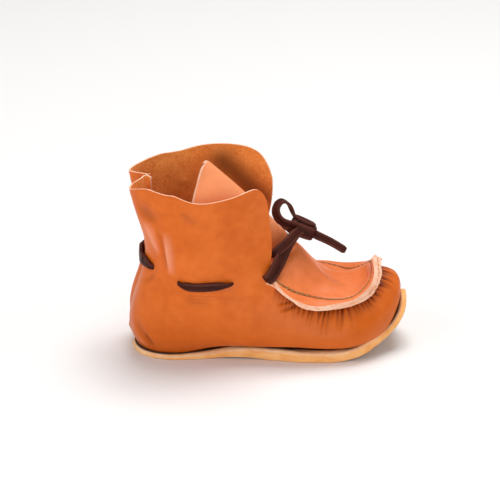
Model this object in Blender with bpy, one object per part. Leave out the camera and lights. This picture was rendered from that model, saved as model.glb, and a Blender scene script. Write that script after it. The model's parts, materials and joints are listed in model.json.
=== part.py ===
"""A child's soft moccasin boot with an upturned toe: sole, insole, upper, apron with tongue, and lace.

X runs from heel to toe, Y to the shoe's left, Z up. The pattern below is drawn in millimetres from the
heel's back edge, at one size, and is graded to the driving sizes. Units in the scene are metres.
"""

import math
from collections import namedtuple

import bmesh
import bpy
import numpy as np

for leftover in list(bpy.data.objects):
    bpy.data.objects.remove(leftover, do_unlink=True)

# Driving sizes, in metres
SHOE_LENGTH = 0.1312
BALL_WIDTH = 0.0556
SHAFT_HEIGHT = 0.0920

# Leather and working sizes, in millimetres
UPPER_WALL = 1.4
APRON_THICK = 1.8
APRON_CLEAR = 0.4
INSOLE_THICK = 1.2
INSOLE_CLEAR = 0.5
INSOLE_SHARE = 0.85
INSOLE_END = 128.0
SOLE_EDGE = 2.6
SOLE_THICK = 3.6
CLEAR = 0.3
LACE_WIDTH = 4.2
LACE_THICK = 1.7

# The size that the pattern is drawn at, in millimetres, and the metres that each of its millimetres becomes
DRAWN_LENGTH = 131.2
DRAWN_WIDTH = 55.6
DRAWN_HEIGHT = 92.0
BALL_HALF = DRAWN_WIDTH / 2
MM = 0.001
TURN_STEP = 0.1
GRADE = np.array(
    [SHOE_LENGTH / DRAWN_LENGTH, BALL_WIDTH / DRAWN_WIDTH, SHAFT_HEIGHT / DRAWN_HEIGHT]
)

# The sole is cut flat and then curls up at the toe, ever more tightly, from CURL_START to its tip
FLAT_LENGTH = 144.4
CURL_START = 100.0
CURL_TURN = math.radians(88)
CURL_POWER = 1.3
CURL_STEPS = 1200
EDGE_DISH = 1.1
DISH_FADE = 20.0
ARCH_RISE = 0.8
ARCH_FROM, ARCH_TO = 33.0, 66.0
SPINE_HEEL, SPINE_TOE = 17.0, 124.0
FAR_FULLNESS = 1.07

# The heel seam pulls the leather in, deepest at the collar
SEAM_DEPTH = 8.5
SEAM_WIDTH = 4.6
SEAM_POWER = 2.4

# One row for each section round the shoe's near side, from the heel seam to the toe.
# sole: along and out, on the flat sole. ledge: how far the sole shows past the upper.
# low, high, rim, middle, collar: along, out and up at five levels; past the throat the last two lead
# the wall on over the foot, and only bend it. far_forward, far_lift: what the far side's top adds.
# flange, tilt: width of the turned-out margin, and its angle above level in degrees.
Section = namedtuple(
    "Section", "name sole ledge low high rim middle collar far_forward far_lift flange tilt"
)
SECTIONS = [
    Section("heel seam", (0, 0), 1.3, (-2.2, 0, 13.5), (-1.6, 0, 28), (5.3, 0, 51), (3, 0, 69),
            (-1.5, 0, 86), 0, 0, 0, 0),
    Section("heel corner", (5, 12.4), 1.3, (2.2, 14, 13), (2.4, 14, 27.5), (8.2, 13.4, 48),
            (5.2, 13.4, 67.5), (0.8, 11.5, 85.3), 0, 1.5, 0, 0),
    Section("heel side", (17, 18.4), 1.6, (15.2, 20.8, 12), (15, 22, 26), (18, 22.6, 44),
            (15.5, 23.4, 66), (12.5, 22, 87.3), 0, 0.5, 0, 0),
    Section("quarter", (37, 18.4), 2.6, (35.5, 22.8, 11), (35, 26, 25), (34, 26.6, 41.5),
            (34, 27.4, 63), (33.8, 28, 83.5), 2, 8, 0, 0),
    Section("quarter front", (48, 19.2), 3.0, (47.5, 24.4, 11), (47.5, 27.2, 25), (48, 26.4, 41.2),
            (50.4, 25, 62.5), (50.6, 25, 87.2), 6, 4.5, 0, 0),
    Section("throat", (60, 21), 3.2, (59.5, 26, 11), (60.5, 27, 25), (62.3, 22.4, 40.3),
            (64.8, 17.3, 61), (63.2, 17.4, 80), 5.5, 2.5, 0.5, 0),
    Section("instep", (75, 24.9), 3.4, (75.5, 28.4, 10.5), (77, 28, 20.5), (79, 22.6, 30.6),
            (80, 15, 37), (80.5, 8, 41), 0, -0.6, 3.4, -4),
    Section("ball", (90, 26.8), 3.4, (92, 29.2, 10), (93, 27.8, 19), (94, 21.4, 27.8),
            (94.5, 14.5, 32), (95, 7, 34.5), 0, -1.4, 4.2, -6),
    Section("toe side", (106, 25.2), 3.2, (107.4, 27, 10.5), (107.4, 25.4, 20), (104.4, 19, 28.4),
            (101.5, 13, 31.5), (99, 7, 33), 0, -1.4, 4.4, 6),
    Section("toe corner", (121.8, 18.4), 3.4, (120, 17.8, 14.2), (119, 16.6, 24.4), (112.2, 13.4, 31.2),
            (106.5, 9.5, 32), (100.5, 5.5, 32.5), 0, -0.8, 4.6, 32),
    Section("toe front", (135.6, 11.2), 5.4, (126.6, 9.6, 20.6), (125.2, 9, 30.2), (116.2, 7.2, 34.6),
            (108, 5.2, 33.5), (100, 3, 32), 0, -0.3, 4.8, 58),
    Section("toe", (FLAT_LENGTH, 0), 8, (128.5, 0, 25.6), (126.6, 0, 33.8), (117.2, 0, 36.2),
            (108, 0, 34.2), (99, 0, 31.5), 0, 0, 5, 68),
]
THROAT = [section.name for section in SECTIONS].index("throat")
LEVELS = ("feather", "low", "high", "rim", "middle", "collar")
RIM_LEVEL = LEVELS.index("rim")
COLLAR_LEVEL = LEVELS.index("collar")

# The apron's middle line from its toe end up the instep to the tongue's point: along and up
RIDGE = [(104.5, 31), (97.5, 31), (91.8, 34.8), (86.6, 41.8), (80.4, 49.8), (75.2, 55),
         (65, 66.4), (54, 77.8), (45, 86.4), (36.3, 94.4)]
RIDGE_THROAT = 4

# The tongue's free edge from its point down inside the shaft: along, out and up, and how much of
# TONGUE_TURN, the tongue's twist towards the toe, its far edge takes
TONGUE_EDGE = [(36.3, 0, 94.4, 0), (32, 8.5, 87.2, 0.4), (29.2, 15.6, 79.2, 0.8), (29.8, 19, 70, 1),
               (36, 20.4, 59.5, 0.8), (47, 20.2, 50.5, 0.3), (56, 19.6, 45, 0)]
TONGUE_TURN = 7.0
SEAM_INSIDE = 3.0
THROAT_INSIDE = 3.9
THROAT_TAPER = 9.0
FAN = 26.0

# The lace's bars: how far they stand off, the slits they leave through, round the shoe from the heel seam,
# and how far each bar hangs between its slits, as a share of the way down to the next level
BAR_STANDS = 0.35
HEEL_SLIT = 15.4
HEEL_SAG = 0.1
SIDE_SLITS = (31.3, 56.3)
SIDE_SAG = 0.055

# The lace's front, over the tongue, and the half bow's knot, loop and ends: along, out and up
FRONT_ROUTE = [(61.6, -24.4, 41.6), (65, -23, 45.2), (69.4, -18.2, 50.2), (73.8, -10.2, 54.7),
               (76.3, 0, 57.2)]
KNOT_PLACE = (81.6, -3, 60.2)
KNOT_SIZE = (10.4, 8.2, 7.2)
KNOT_SLANT = math.radians(24)
KNOT_EASE = 0.22
LOOP_ROUTE = [(75.9, -6.9, 62.4), (71.8, -7.8, 63.9), (69, -7.2, 67), (69, -5.4, 71.4), (71.6, -4, 73.6),
              (74.8, -2.8, 72), (76.6, -2.2, 68.6), (78, -2, 65)]
END_ROUTE = [(86.8, -4.2, 57.2), (91, -5.2, 55), (96, -6, 52.4), (101.6, -6.4, 49.2)]
TUCKED_ROUTE = [(77.2, -9.4, 60.2), (74.6, -13.2, 59.6), (71.1, -15.6, 57.6), (67.9, -15.6, 55.6),
                (64.8, -14.6, 53)]

# Meshing
BACK_COLUMNS = 27
TOE_COLUMNS = 17
TONGUE_COLUMNS = 13
FOOT_LEVELS = (0, 0.35, 0.8, 1.3, 1.8, 2.3, 2.7, 3)
SHAFT_LEVELS = (3, 3.35, 3.75, 4.15, 4.5, 4.8, 5)
FLANGE_STEPS = (0, 0.15, 0.55, 1)
APRON_STEPS = (0, 0.14, 0.3, 0.5, 0.75, 1)
HEEL_BAR_STEPS, SIDE_BAR_STEPS, FRONT_STEPS, LOOP_STEPS, END_STEPS = 13, 9, 8, 17, 9


def spline_weights(knots, places, closed=False):
    """Weights of a cubic spline: row i blends the values at the knots into the value at places[i]."""
    gaps = np.diff(knots)
    count = len(knots) - closed
    bends, pulls = np.zeros((2, count, count))
    for i in range(count):
        if not closed and i in (0, count - 1):
            bends[i, i] = 1
            continue
        before, after = gaps[i - 1], gaps[i]
        for j, bend, pull in (
            (i - 1, before / 6, 1 / before),
            (i, (before + after) / 3, -1 / before - 1 / after),
            ((i + 1) % count, after / 6, 1 / after),
        ):
            bends[i, j] += bend
            pulls[i, j] += pull
    curvature = np.linalg.solve(bends, pulls)
    span = np.clip(np.searchsorted(knots, places, side="right") - 1, 0, len(gaps) - 1)
    gap = gaps[span][:, None]
    right = (np.asarray(places, float) - knots[span])[:, None] / gap
    left = 1 - right
    after = (span + 1) % count
    values = np.eye(count)
    return (
        left * values[span]
        + right * values[after]
        + (left**3 - left) * gap**2 / 6 * curvature[span]
        + (right**3 - right) * gap**2 / 6 * curvature[after]
    )


def unit(vectors):
    return vectors / np.linalg.norm(vectors, axis=-1, keepdims=True)


def smooth_route(points, count):
    """count points, evenly spread, on the smooth curve through a route's own points."""
    points = np.asarray(points, float)
    knots = np.concatenate([[0], np.cumsum(np.linalg.norm(np.diff(points, axis=0), axis=1))])
    return spline_weights(knots, np.linspace(0, knots[-1], count)) @ points


# Round the shoe: the near side's sections, then the far side's, as one closed ring
outline = np.array([section.sole for section in SECTIONS], float)
near_knots = np.concatenate([[0], np.cumsum(np.linalg.norm(np.diff(outline, axis=0), axis=1))])
ROUND = 2 * near_knots[-1]
knots = np.concatenate([near_knots, ROUND - near_knots[-2::-1]])
throat = near_knots[THROAT]


def ring(near_values, far_values):
    """A column's values round the whole shoe, back to just before the heel seam."""
    return np.array(list(near_values) + list(far_values[-2:0:-1]), float)


def weights_round(places):
    return spline_weights(knots, np.mod(places, ROUND), closed=True)


def sole_point(along, out, up):
    """A place on the curled sole: along and out on the flat leather, up from its bottom."""
    along, out, up = np.broadcast_arrays(*(np.asarray(value, float) for value in (along, out, up)))
    steps = np.linspace(0, FLAT_LENGTH, CURL_STEPS)
    turns = CURL_TURN * np.clip((steps - CURL_START) / (FLAT_LENGTH - CURL_START), 0, None) ** CURL_POWER
    step = steps[1]
    curled_x = np.concatenate([[0], np.cumsum(np.cos(turns[:-1]) * step)])
    curled_z = np.concatenate([[0], np.cumsum(np.sin(turns[:-1]) * step)])
    turn = np.interp(along, steps, turns)
    waist = np.clip((along - ARCH_FROM) / (ARCH_TO - ARCH_FROM), 0, 1)
    past_start = np.clip((along - CURL_START) / DISH_FADE, 0, 1)
    toe = past_start * np.clip((FLAT_LENGTH - along) / DISH_FADE, 0, 1)
    rise = ARCH_RISE * np.sin(np.pi * waist) ** 2 + EDGE_DISH * toe * (out / BALL_HALF) ** 2
    lifted = up + rise
    return np.stack(
        [
            np.interp(along, steps, curled_x) - lifted * np.sin(turn),
            out,
            np.interp(along, steps, curled_z) + lifted * np.cos(turn),
        ],
        axis=-1,
    )


def sole_outline(places, inset):
    """Flat places along and out of the sole's edge, drawn in by inset."""
    near = [(section.sole[0], -section.sole[1]) for section in SECTIONS]
    far = [(section.sole[0], section.sole[1] * FAR_FULLNESS) for section in SECTIONS]
    weights = weights_round(places)
    ahead, behind = (weights_round(places + turn) @ ring(near, far) for turn in (TURN_STEP, -TURN_STEP))
    run = unit(ahead - behind)
    inward = np.stack([-run[:, 1], run[:, 0]], axis=1)
    return weights @ ring(near, far) + inward * np.reshape(inset, (-1, 1))


def ledge(places):
    widths = [section.ledge for section in SECTIONS]
    return weights_round(places) @ ring(widths, widths)


def section_levels(side):
    """The sections' places at each level, feather to collar, on the near side (-1) or the far side (+1)."""
    rows = []
    for place, section in enumerate(SECTIONS):
        row = []
        for number, level in enumerate(LEVELS[1:], 1):
            along, out, up = getattr(section, level)
            if side > 0:
                over_rim = max(0, number - RIM_LEVEL) / (COLLAR_LEVEL - RIM_LEVEL)
                to_rim = min(1, (number - 1) / (RIM_LEVEL - 1))
                along += section.far_forward * over_rim
                up += section.far_lift * (over_rim if place <= THROAT else to_rim)
                out *= FAR_FULLNESS if number < RIM_LEVEL else 1
            row.append((along, side * out, up))
        rows.append(row)
    return rows


FEATHER_UP = SOLE_THICK + CLEAR
flat_feather = sole_outline(knots[:-1], ledge(knots[:-1]))
feather = sole_point(flat_feather[:, 0], flat_feather[:, 1], FEATHER_UP)
PATTERN = np.concatenate(
    [feather[:, None], ring(section_levels(-1), section_levels(1))], axis=1
)
LEVEL_KNOTS = np.arange(len(LEVELS), dtype=float)


def upper_form(places, levels):
    """The upper's outer face, as a grid of points: places round the shoe by levels up the wall."""
    across = weights_round(places)
    up = spline_weights(LEVEL_KNOTS, np.asarray(levels, float))
    grid = np.einsum("pi,lk,ikc->plc", across, up, PATTERN)
    depth = SEAM_DEPTH * (np.asarray(levels, float) / COLLAR_LEVEL) ** SEAM_POWER
    from_seam = np.minimum(np.mod(places, ROUND), ROUND - np.mod(places, ROUND))
    at_heel = (from_seam < throat / 2)[:, None]
    grid[..., 0] += at_heel * depth * np.exp(-((grid[..., 1] / SEAM_WIDTH) ** 2))
    return grid


def on_upper(places, levels):
    """Points on the upper's outer face, each with a place of its own and a level of its own."""
    each = np.arange(len(places))
    return upper_form(places, levels)[each, each]


def upper_normal(places, levels):
    """The direction straight out of the upper."""
    ahead, behind = (on_upper(places + turn, levels) for turn in (TURN_STEP, -TURN_STEP))
    over, under = (on_upper(places, levels + turn) for turn in (TURN_STEP, -TURN_STEP))
    return unit(np.cross(ahead - behind, over - under))


def rim_frame(places):
    """The out-seam round the forefoot: its points, the flange's direction, its face's, and its width."""
    seam = upper_form(places, [RIM_LEVEL])[:, 0]
    ahead, behind = (upper_form(places + turn, [RIM_LEVEL])[:, 0] for turn in (TURN_STEP, -TURN_STEP))
    run = ahead - behind
    out = unit(np.stack([run[:, 1], -run[:, 0], np.zeros(len(run))], axis=1))
    weights = weights_round(places)
    tilts = [math.radians(section.tilt) for section in SECTIONS]
    widths = [section.flange for section in SECTIONS]
    tilt = (weights @ ring(tilts, tilts))[:, None]
    flange = np.cos(tilt) * out + np.sin(tilt) * np.array([0.0, 0.0, 1.0])
    off_face = unit(np.cross(flange, run))
    return seam, flange, off_face, weights @ ring(widths, widths)


def mesh_object(name, build, colour, roughness):
    """A named object with its own material, from a function that fills a bmesh in millimetres."""
    shape = bmesh.new()
    build(shape)
    bmesh.ops.remove_doubles(shape, verts=shape.verts, dist=0.02)
    bmesh.ops.dissolve_degenerate(shape, edges=shape.edges, dist=0.01)
    if not any(edge.is_boundary for edge in shape.edges):
        bmesh.ops.recalc_face_normals(shape, faces=shape.faces)
        if shape.calc_volume(signed=True) < 0:
            bmesh.ops.reverse_faces(shape, faces=shape.faces)
    for vert in shape.verts:
        vert.co = np.array(vert.co) * GRADE
    mesh = bpy.data.meshes.new(name)
    shape.to_mesh(mesh)
    shape.free()
    mesh.shade_smooth()
    mesh.set_sharp_from_angle(angle=math.radians(45))
    made = bpy.data.objects.new(name, mesh)
    bpy.context.scene.collection.objects.link(made)
    material = bpy.data.materials.new(name)
    material.use_nodes = True
    finish = material.node_tree.nodes["Principled BSDF"]
    finish.inputs["Base Color"].default_value = (*colour, 1)
    finish.inputs["Roughness"].default_value = roughness
    mesh.materials.append(material)
    made.parent = shoe
    return made


def add_sheet(shape, grid):
    """A grid of faces through points that are given by column and row."""
    columns, rows = grid.shape[:2]
    made = bmesh.ops.create_grid(shape, x_segments=columns - 1, y_segments=rows - 1, size=1)
    for vert in made["verts"]:
        column = round((vert.co.x + 1) / 2 * (columns - 1))
        row = round((vert.co.y + 1) / 2 * (rows - 1))
        vert.co = grid[column, row]
    return made["verts"]


def thicken(made, thickness):
    """Gives a sheet its leather, on the inner side of its outer face."""
    wall = made.modifiers.new("leather", "SOLIDIFY")
    wall.thickness = thickness * MM
    wall.offset = -1
    wall.use_even_offset = True
    wall.use_quality_normals = True


def plate(shape, rows):
    """A closed plate from rows round the shoe: flat places and a height above the sole's bottom."""
    add_sheet(shape, np.stack([sole_point(flat[:, 0], flat[:, 1], up) for flat, up in rows], axis=1))


def drawn_to_spine(flat, share):
    """Flat places drawn from the edge towards the middle line of the sole; share 1 is the edge."""
    along = sole_outline(ALL_ROUND, 0)[:, 0] / FLAT_LENGTH
    spine = np.stack([SPINE_HEEL + (SPINE_TOE - SPINE_HEEL) * along, np.zeros(len(flat))], axis=1)
    return spine + (flat - spine) * share


half_back = throat * np.linspace(0, 1, BACK_COLUMNS) ** 1.4
half_toe = np.linspace(throat, ROUND / 2, TOE_COLUMNS)
near_columns = np.concatenate([half_back, half_toe[1:]])
ALL_ROUND = np.concatenate([near_columns, ROUND - near_columns[-2::-1]])
SHAFT_ROUND = np.concatenate([-half_back[:0:-1], half_back])
RIM_ROUND = np.concatenate([half_toe, ROUND - half_toe[-2::-1]])

shoe = bpy.data.objects.new("shoe", None)
bpy.context.scene.collection.objects.link(shoe)


def build_outsole(shape):
    edge = sole_outline(ALL_ROUND, 0)
    shelf = sole_outline(ALL_ROUND, ledge(ALL_ROUND))
    inward = [(drawn_to_spine(edge, share), 0) for share in (0, 0.4, 0.75, 0.95)]
    back = [(drawn_to_spine(shelf, share), SOLE_THICK) for share in (0.7, 0.35, 0)]
    plate(shape, inward + [(edge, 0.35), (edge, SOLE_EDGE), (shelf, SOLE_THICK)] + back)


def build_insole(shape):
    edge = drawn_to_spine(sole_outline(ALL_ROUND, ledge(ALL_ROUND)), INSOLE_SHARE)
    edge[:, 0] = np.minimum(edge[:, 0], INSOLE_END)
    bottom = SOLE_THICK + INSOLE_CLEAR
    top = bottom + INSOLE_THICK
    under = [(drawn_to_spine(edge, share), bottom) for share in (0, 0.5, 1)]
    plate(shape, under + [(drawn_to_spine(edge, share), top) for share in (1, 0.5, 0)])


def build_upper(shape):
    add_sheet(shape, upper_form(ALL_ROUND, FOOT_LEVELS))
    add_sheet(shape, upper_form(SHAFT_ROUND, SHAFT_LEVELS))
    seam, flange, _, width = rim_frame(RIM_ROUND)
    margin = [seam + flange * (width * step)[:, None] for step in FLANGE_STEPS]
    add_sheet(shape, np.stack(margin, axis=1))


def mirrored(points):
    return points * np.array([1, -1, 1])


def apron_half(side):
    """Half of the apron and tongue, from the tongue's point to the toe and from edge to middle line."""
    places = half_toe if side < 0 else ROUND - half_toe
    seam, flange, off_face, width = rim_frame(places)
    lift = off_face * (UPPER_WALL + APRON_CLEAR + APRON_THICK)
    into_throat = np.clip(1 - (half_toe - throat) / THROAT_TAPER, 0, 1) ** 2
    reach = width - THROAT_INSIDE * into_throat
    rim_edge = seam + lift + flange * reach[:, None]
    rim_length = reach + SEAM_INSIDE + THROAT_INSIDE * into_throat
    turn = TONGUE_TURN if side > 0 else 0
    free = [(along + turn * wrap, side * out, up) for along, out, up, wrap in TONGUE_EDGE] + [rim_edge[0]]
    tongue_edge = smooth_route(free, TONGUE_COLUMNS)[:-1]
    ridge = np.array([(along, 0, up) for along, up in RIDGE], float)
    tongue_spine = smooth_route(ridge[RIDGE_THROAT:][::-1], TONGUE_COLUMNS)[:-1]
    rim_spine = smooth_route(ridge[: RIDGE_THROAT + 1][::-1], TOE_COLUMNS)
    gap = np.linalg.norm(tongue_spine - tongue_edge, axis=1)
    towards = (tongue_spine - tongue_edge) / np.maximum(gap, 1e-6)[:, None]
    towards[0] = (0, -side, 0)
    share = np.linspace(0, 1, TONGUE_COLUMNS)[:-1, None] ** 3
    edge = np.concatenate([tongue_edge, rim_edge])
    spine = np.concatenate([tongue_spine, rim_spine])
    inward = np.concatenate([unit(towards * (1 - share) - flange[0] * share), -flange])
    length = np.concatenate([np.minimum(SEAM_INSIDE, 0.25 * gap), rim_length])
    root = edge + inward * length[:, None]
    from_toe = np.concatenate([np.full(len(gap), FAN), ROUND / 2 - half_toe])
    fan = (math.pi / 2 * np.clip(1 - from_toe / FAN, 0, 1))[:, None]
    along_ridge = -unit(np.gradient(spine, axis=0))
    arrive = np.cos(fan) * np.array([0.0, -side, 0.0]) + np.sin(fan) * along_ridge
    pull = np.linalg.norm(spine - root, axis=1)[:, None]
    rows = [edge, (edge + root) / 2]
    for step in APRON_STEPS:
        rows.append(
            (2 * step**3 - 3 * step**2 + 1) * root
            + (step**3 - 2 * step**2 + step) * pull * inward
            + (3 * step**2 - 2 * step**3) * spine
            + (step**3 - step**2) * pull * arrive
        )
    return np.stack(rows, axis=1)


def apron_grid():
    return np.concatenate([apron_half(-1), apron_half(1)[-2::-1]])


def build_apron(shape):
    add_sheet(shape, apron_grid())


def add_strap(shape, path, facing, width=LACE_WIDTH, thick=LACE_THICK):
    """A flat thong along a path, its broad face turned to facing, its corners eased."""
    run = unit(np.gradient(path, axis=0))
    side = unit(np.cross(run, facing))
    face = unit(np.cross(side, run))
    ease = thick * 0.3
    half_w, half_t = width / 2, thick / 2
    corners = [(half_w - ease, half_t), (half_w, half_t - ease)]
    corners += [(w, -t) for w, t in corners[::-1]]
    corners += [(-w, -t) for w, t in corners]
    corners.append(corners[0])
    rows = [path + side * w + face * t for w, t in corners]
    add_sheet(shape, np.stack(rows, axis=1))
    bmesh.ops.remove_doubles(shape, verts=shape.verts, dist=0.001)
    bmesh.ops.holes_fill(shape, edges=[edge for edge in shape.edges if edge.is_boundary])


def bar_round(first, last, sag, count):
    """A lace bar laid on the upper from slit to slit at the rim's level, hanging a little."""
    places = np.linspace(first, last, count)
    levels = RIM_LEVEL - sag * np.sin(np.linspace(0, math.pi, count))
    normal = upper_normal(places, levels)
    return on_upper(places, levels) + normal * (CLEAR + LACE_THICK / 2 + BAR_STANDS), normal


def build_heel_bar(shape):
    path, facing = bar_round(-HEEL_SLIT, HEEL_SLIT, HEEL_SAG, HEEL_BAR_STEPS)
    bridge = np.abs(path[:, 1]) < 2 * SEAM_WIDTH
    path[bridge, 0] = np.minimum(path[bridge, 0], path[np.argmax(bridge), 0])
    facing[bridge] = (-1, 0, 0)
    add_strap(shape, path, facing)


def build_side_bar(side):
    def build(shape):
        places = [ROUND / 2 + side * (ROUND / 2 - place) for place in SIDE_SLITS]
        add_strap(shape, *bar_round(*places, SIDE_SAG, SIDE_BAR_STEPS))

    return build


def build_front_bar(shape):
    near = smooth_route(FRONT_ROUTE, FRONT_STEPS)
    path = np.concatenate([near, mirrored(near)[-2::-1]])
    facing = np.stack([np.full(len(path), 0.6), path[:, 1] / 30, np.full(len(path), 0.6)], axis=1)
    add_strap(shape, path, unit(facing))


def build_knot(shape):
    bmesh.ops.create_cube(shape, size=1)
    bmesh.ops.bevel(
        shape,
        geom=shape.edges[:],
        offset=KNOT_EASE,
        segments=2,
        profile=0.5,
        affect="EDGES",
        clamp_overlap=True,
    )
    cos, sin = math.cos(KNOT_SLANT), math.sin(KNOT_SLANT)
    for vert in shape.verts:
        x, y, z = np.array(vert.co) * KNOT_SIZE
        vert.co = np.array([x * cos + z * sin, y, z * cos - x * sin]) + KNOT_PLACE


def cord(route, facing):
    def build(shape):
        path = smooth_route(route, END_STEPS)
        add_strap(shape, path, np.broadcast_to(np.array(facing, float), path.shape))

    return build


def build_loop(shape):
    path = smooth_route(LOOP_ROUTE, LOOP_STEPS)
    centre = path.mean(axis=0)
    add_strap(shape, path, unit(path - centre))


LEATHER = (0.72, 0.17, 0.035)
SOLE_LEATHER = (0.75, 0.33, 0.11)
SUEDE = (0.42, 0.15, 0.04)
LACE = (0.06, 0.022, 0.018)

mesh_object("outsole", build_outsole, SOLE_LEATHER, 0.7)
mesh_object("insole", build_insole, SUEDE, 0.9)
thicken(mesh_object("upper", build_upper, LEATHER, 0.4), UPPER_WALL)
thicken(mesh_object("apron_tongue", build_apron, LEATHER, 0.4), APRON_THICK)
mesh_object("lace_heel", build_heel_bar, LACE, 0.6)
mesh_object("lace_near_side", build_side_bar(-1), LACE, 0.6)
mesh_object("lace_far_side", build_side_bar(1), LACE, 0.6)
mesh_object("lace_front", build_front_bar, LACE, 0.6)
mesh_object("lace_knot", build_knot, LACE, 0.6)
mesh_object("lace_loop", build_loop, LACE, 0.6)
mesh_object("lace_end", cord(END_ROUTE, (0.3, -0.6, 0.7)), LACE, 0.6)
mesh_object("lace_tucked_end", cord(TUCKED_ROUTE, (0.5, -0.8, 0.4)), LACE, 0.6)

# The origin goes to the middle of the shoe's footprint, on the floor; the bow's free ends don't count
CORDS = ("lace_knot", "lace_loop", "lace_end", "lace_tucked_end")
graph = bpy.context.evaluated_depsgraph_get()
corners = [
    corner
    for made in shoe.children
    if made.name not in CORDS
    for corner in made.evaluated_get(graph).bound_box
]
low, high = np.min(corners, axis=0), np.max(corners, axis=0)
shoe.location = (-(low[0] + high[0]) / 2, -(low[1] + high[1]) / 2, -low[2])
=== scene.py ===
# %% [markdown]
# # A child's moccasin boot with an upturned toe
# The boot is soft orange-tan leather. One piece wraps the foot and the ankle, a second piece lies over the
# forefoot as an apron and runs up as the tongue, and both are sewn together with an out-seam whose two cut
# edges stand up round the toe. A thick leather sole curls up in front, and a dark flat lace runs through slits
# round the ankle to a half bow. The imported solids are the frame: they are loaded first and never moved.

# %% Load the frame
import json
import math
from collections import namedtuple

import bmesh
import bpy
import numpy as np
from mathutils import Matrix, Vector

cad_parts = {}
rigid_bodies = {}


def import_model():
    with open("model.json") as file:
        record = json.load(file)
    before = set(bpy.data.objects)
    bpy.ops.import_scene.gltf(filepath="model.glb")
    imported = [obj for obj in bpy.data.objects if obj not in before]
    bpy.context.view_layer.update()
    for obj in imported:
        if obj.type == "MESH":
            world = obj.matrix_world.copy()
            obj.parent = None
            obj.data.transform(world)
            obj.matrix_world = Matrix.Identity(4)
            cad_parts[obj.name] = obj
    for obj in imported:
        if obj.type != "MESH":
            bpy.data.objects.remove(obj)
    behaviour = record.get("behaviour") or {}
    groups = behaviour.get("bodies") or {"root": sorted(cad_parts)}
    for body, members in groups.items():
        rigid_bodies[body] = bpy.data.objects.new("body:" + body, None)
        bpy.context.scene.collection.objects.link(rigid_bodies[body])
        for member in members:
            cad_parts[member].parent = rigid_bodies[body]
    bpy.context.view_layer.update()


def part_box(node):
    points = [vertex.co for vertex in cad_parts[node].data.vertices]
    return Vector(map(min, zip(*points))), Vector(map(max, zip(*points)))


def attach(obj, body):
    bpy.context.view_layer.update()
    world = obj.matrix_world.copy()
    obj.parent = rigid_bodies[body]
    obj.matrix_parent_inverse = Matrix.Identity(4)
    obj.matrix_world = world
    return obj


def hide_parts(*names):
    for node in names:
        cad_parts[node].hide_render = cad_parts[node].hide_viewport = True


for leftover in list(bpy.data.objects):
    bpy.data.objects.remove(leftover, do_unlink=True)
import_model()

# %% [markdown]
# ## Where the pattern lies
# A shoemaker measures from the back of the heel, in millimetres, so the pattern here does too. The sole's box
# tells where that heel point is in the frame: its lowest corner is the heel's back edge and the near edge of
# the ball. Every point is moved there in one place, just before its mesh is made.

# %% The heel point
MM = 0.001
SOLE_NEAR_REACH = 26.83
sole_low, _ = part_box("outsole")
HEEL = np.array([sole_low.x, sole_low.y + SOLE_NEAR_REACH * MM, 0.0])


def to_row(points):
    """Millimetres from the heel point become metres in the row frame."""
    return np.asarray(points, float) * MM + HEEL


print("heel point", HEEL.round(5))

# %% [markdown]
# ## Camera, light and floor
# The photograph was taken from a little above and a touch behind the near side, from far away, so the lens is
# long. A white world gives the even light of a product table. A large soft lamp above and behind lights the
# top faces, two side panels put the pale sheen on the heel and the toe, and one in front fills the near side.
# The floor is a plain white sheet, which only catches a soft shadow.

# %% Camera
CAMERA_TURN = math.radians(-4)
CAMERA_TILT = math.radians(24)
CAMERA_AWAY = 1.4
CAMERA_AIM = (56.5, 0.0, 47.9)
VIEW_WIDTH = 0.2375
SENSOR = 36.0


def add_object(name, data):
    """A new object in the scene, at the origin."""
    made = bpy.data.objects.new(name, data)
    bpy.context.scene.collection.objects.link(made)
    return made


level = math.cos(CAMERA_TILT)
back = np.array([math.sin(CAMERA_TURN) * level, -math.cos(CAMERA_TURN) * level, math.sin(CAMERA_TILT)])
lens = bpy.data.cameras.new("camera")
lens.sensor_width = SENSOR
lens.lens = SENSOR * CAMERA_AWAY / VIEW_WIDTH
camera = add_object("camera", lens)
camera.location = to_row(CAMERA_AIM) + back * CAMERA_AWAY
camera.rotation_euler = (math.pi / 2 - CAMERA_TILT, 0, CAMERA_TURN)
bpy.context.scene.camera = camera
print("lens", round(lens.lens, 1), "mm")

# %% Light and floor
Lamp = namedtuple("Lamp", "name place aim size power")
LAMPS = [
    Lamp("overhead", (0.14, 0.24, 1.05), (0.0, 0.0, 0.04), 0.55, 8.8),
    Lamp("left panel", (-0.86, -0.30, 0.50), (0.0, 0.0, 0.05), 0.85, 3.1),
    Lamp("right panel", (0.75, -0.20, 0.60), (0.0, 0.0, 0.05), 0.50, 0.9),
    Lamp("front fill", (0.05, -1.05, 0.20), (0.0, 0.0, 0.05), 0.60, 3.4),
]
ROOM_TINT, ROOM_STRENGTH = (1.0, 0.985, 0.97, 1), 0.31
PAPER_TINT, PAPER_ROUGH = (0.90, 0.895, 0.89, 1), 0.9
FLOOR_SIZE = 3.0
world = bpy.data.worlds.new("white room")
world.use_nodes = True
world.node_tree.nodes["Background"].inputs["Color"].default_value = ROOM_TINT
world.node_tree.nodes["Background"].inputs["Strength"].default_value = ROOM_STRENGTH
bpy.context.scene.world = world
bpy.context.scene.view_settings.view_transform = "Standard"

for lamp in LAMPS:
    light = bpy.data.lights.new(lamp.name, "AREA")
    light.size = lamp.size
    light.energy = lamp.power
    made = add_object(lamp.name, light)
    made.location = lamp.place
    made.rotation_mode = "QUATERNION"
    made.rotation_quaternion = (Vector(lamp.aim) - Vector(lamp.place)).to_track_quat("-Z", "Y")

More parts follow.
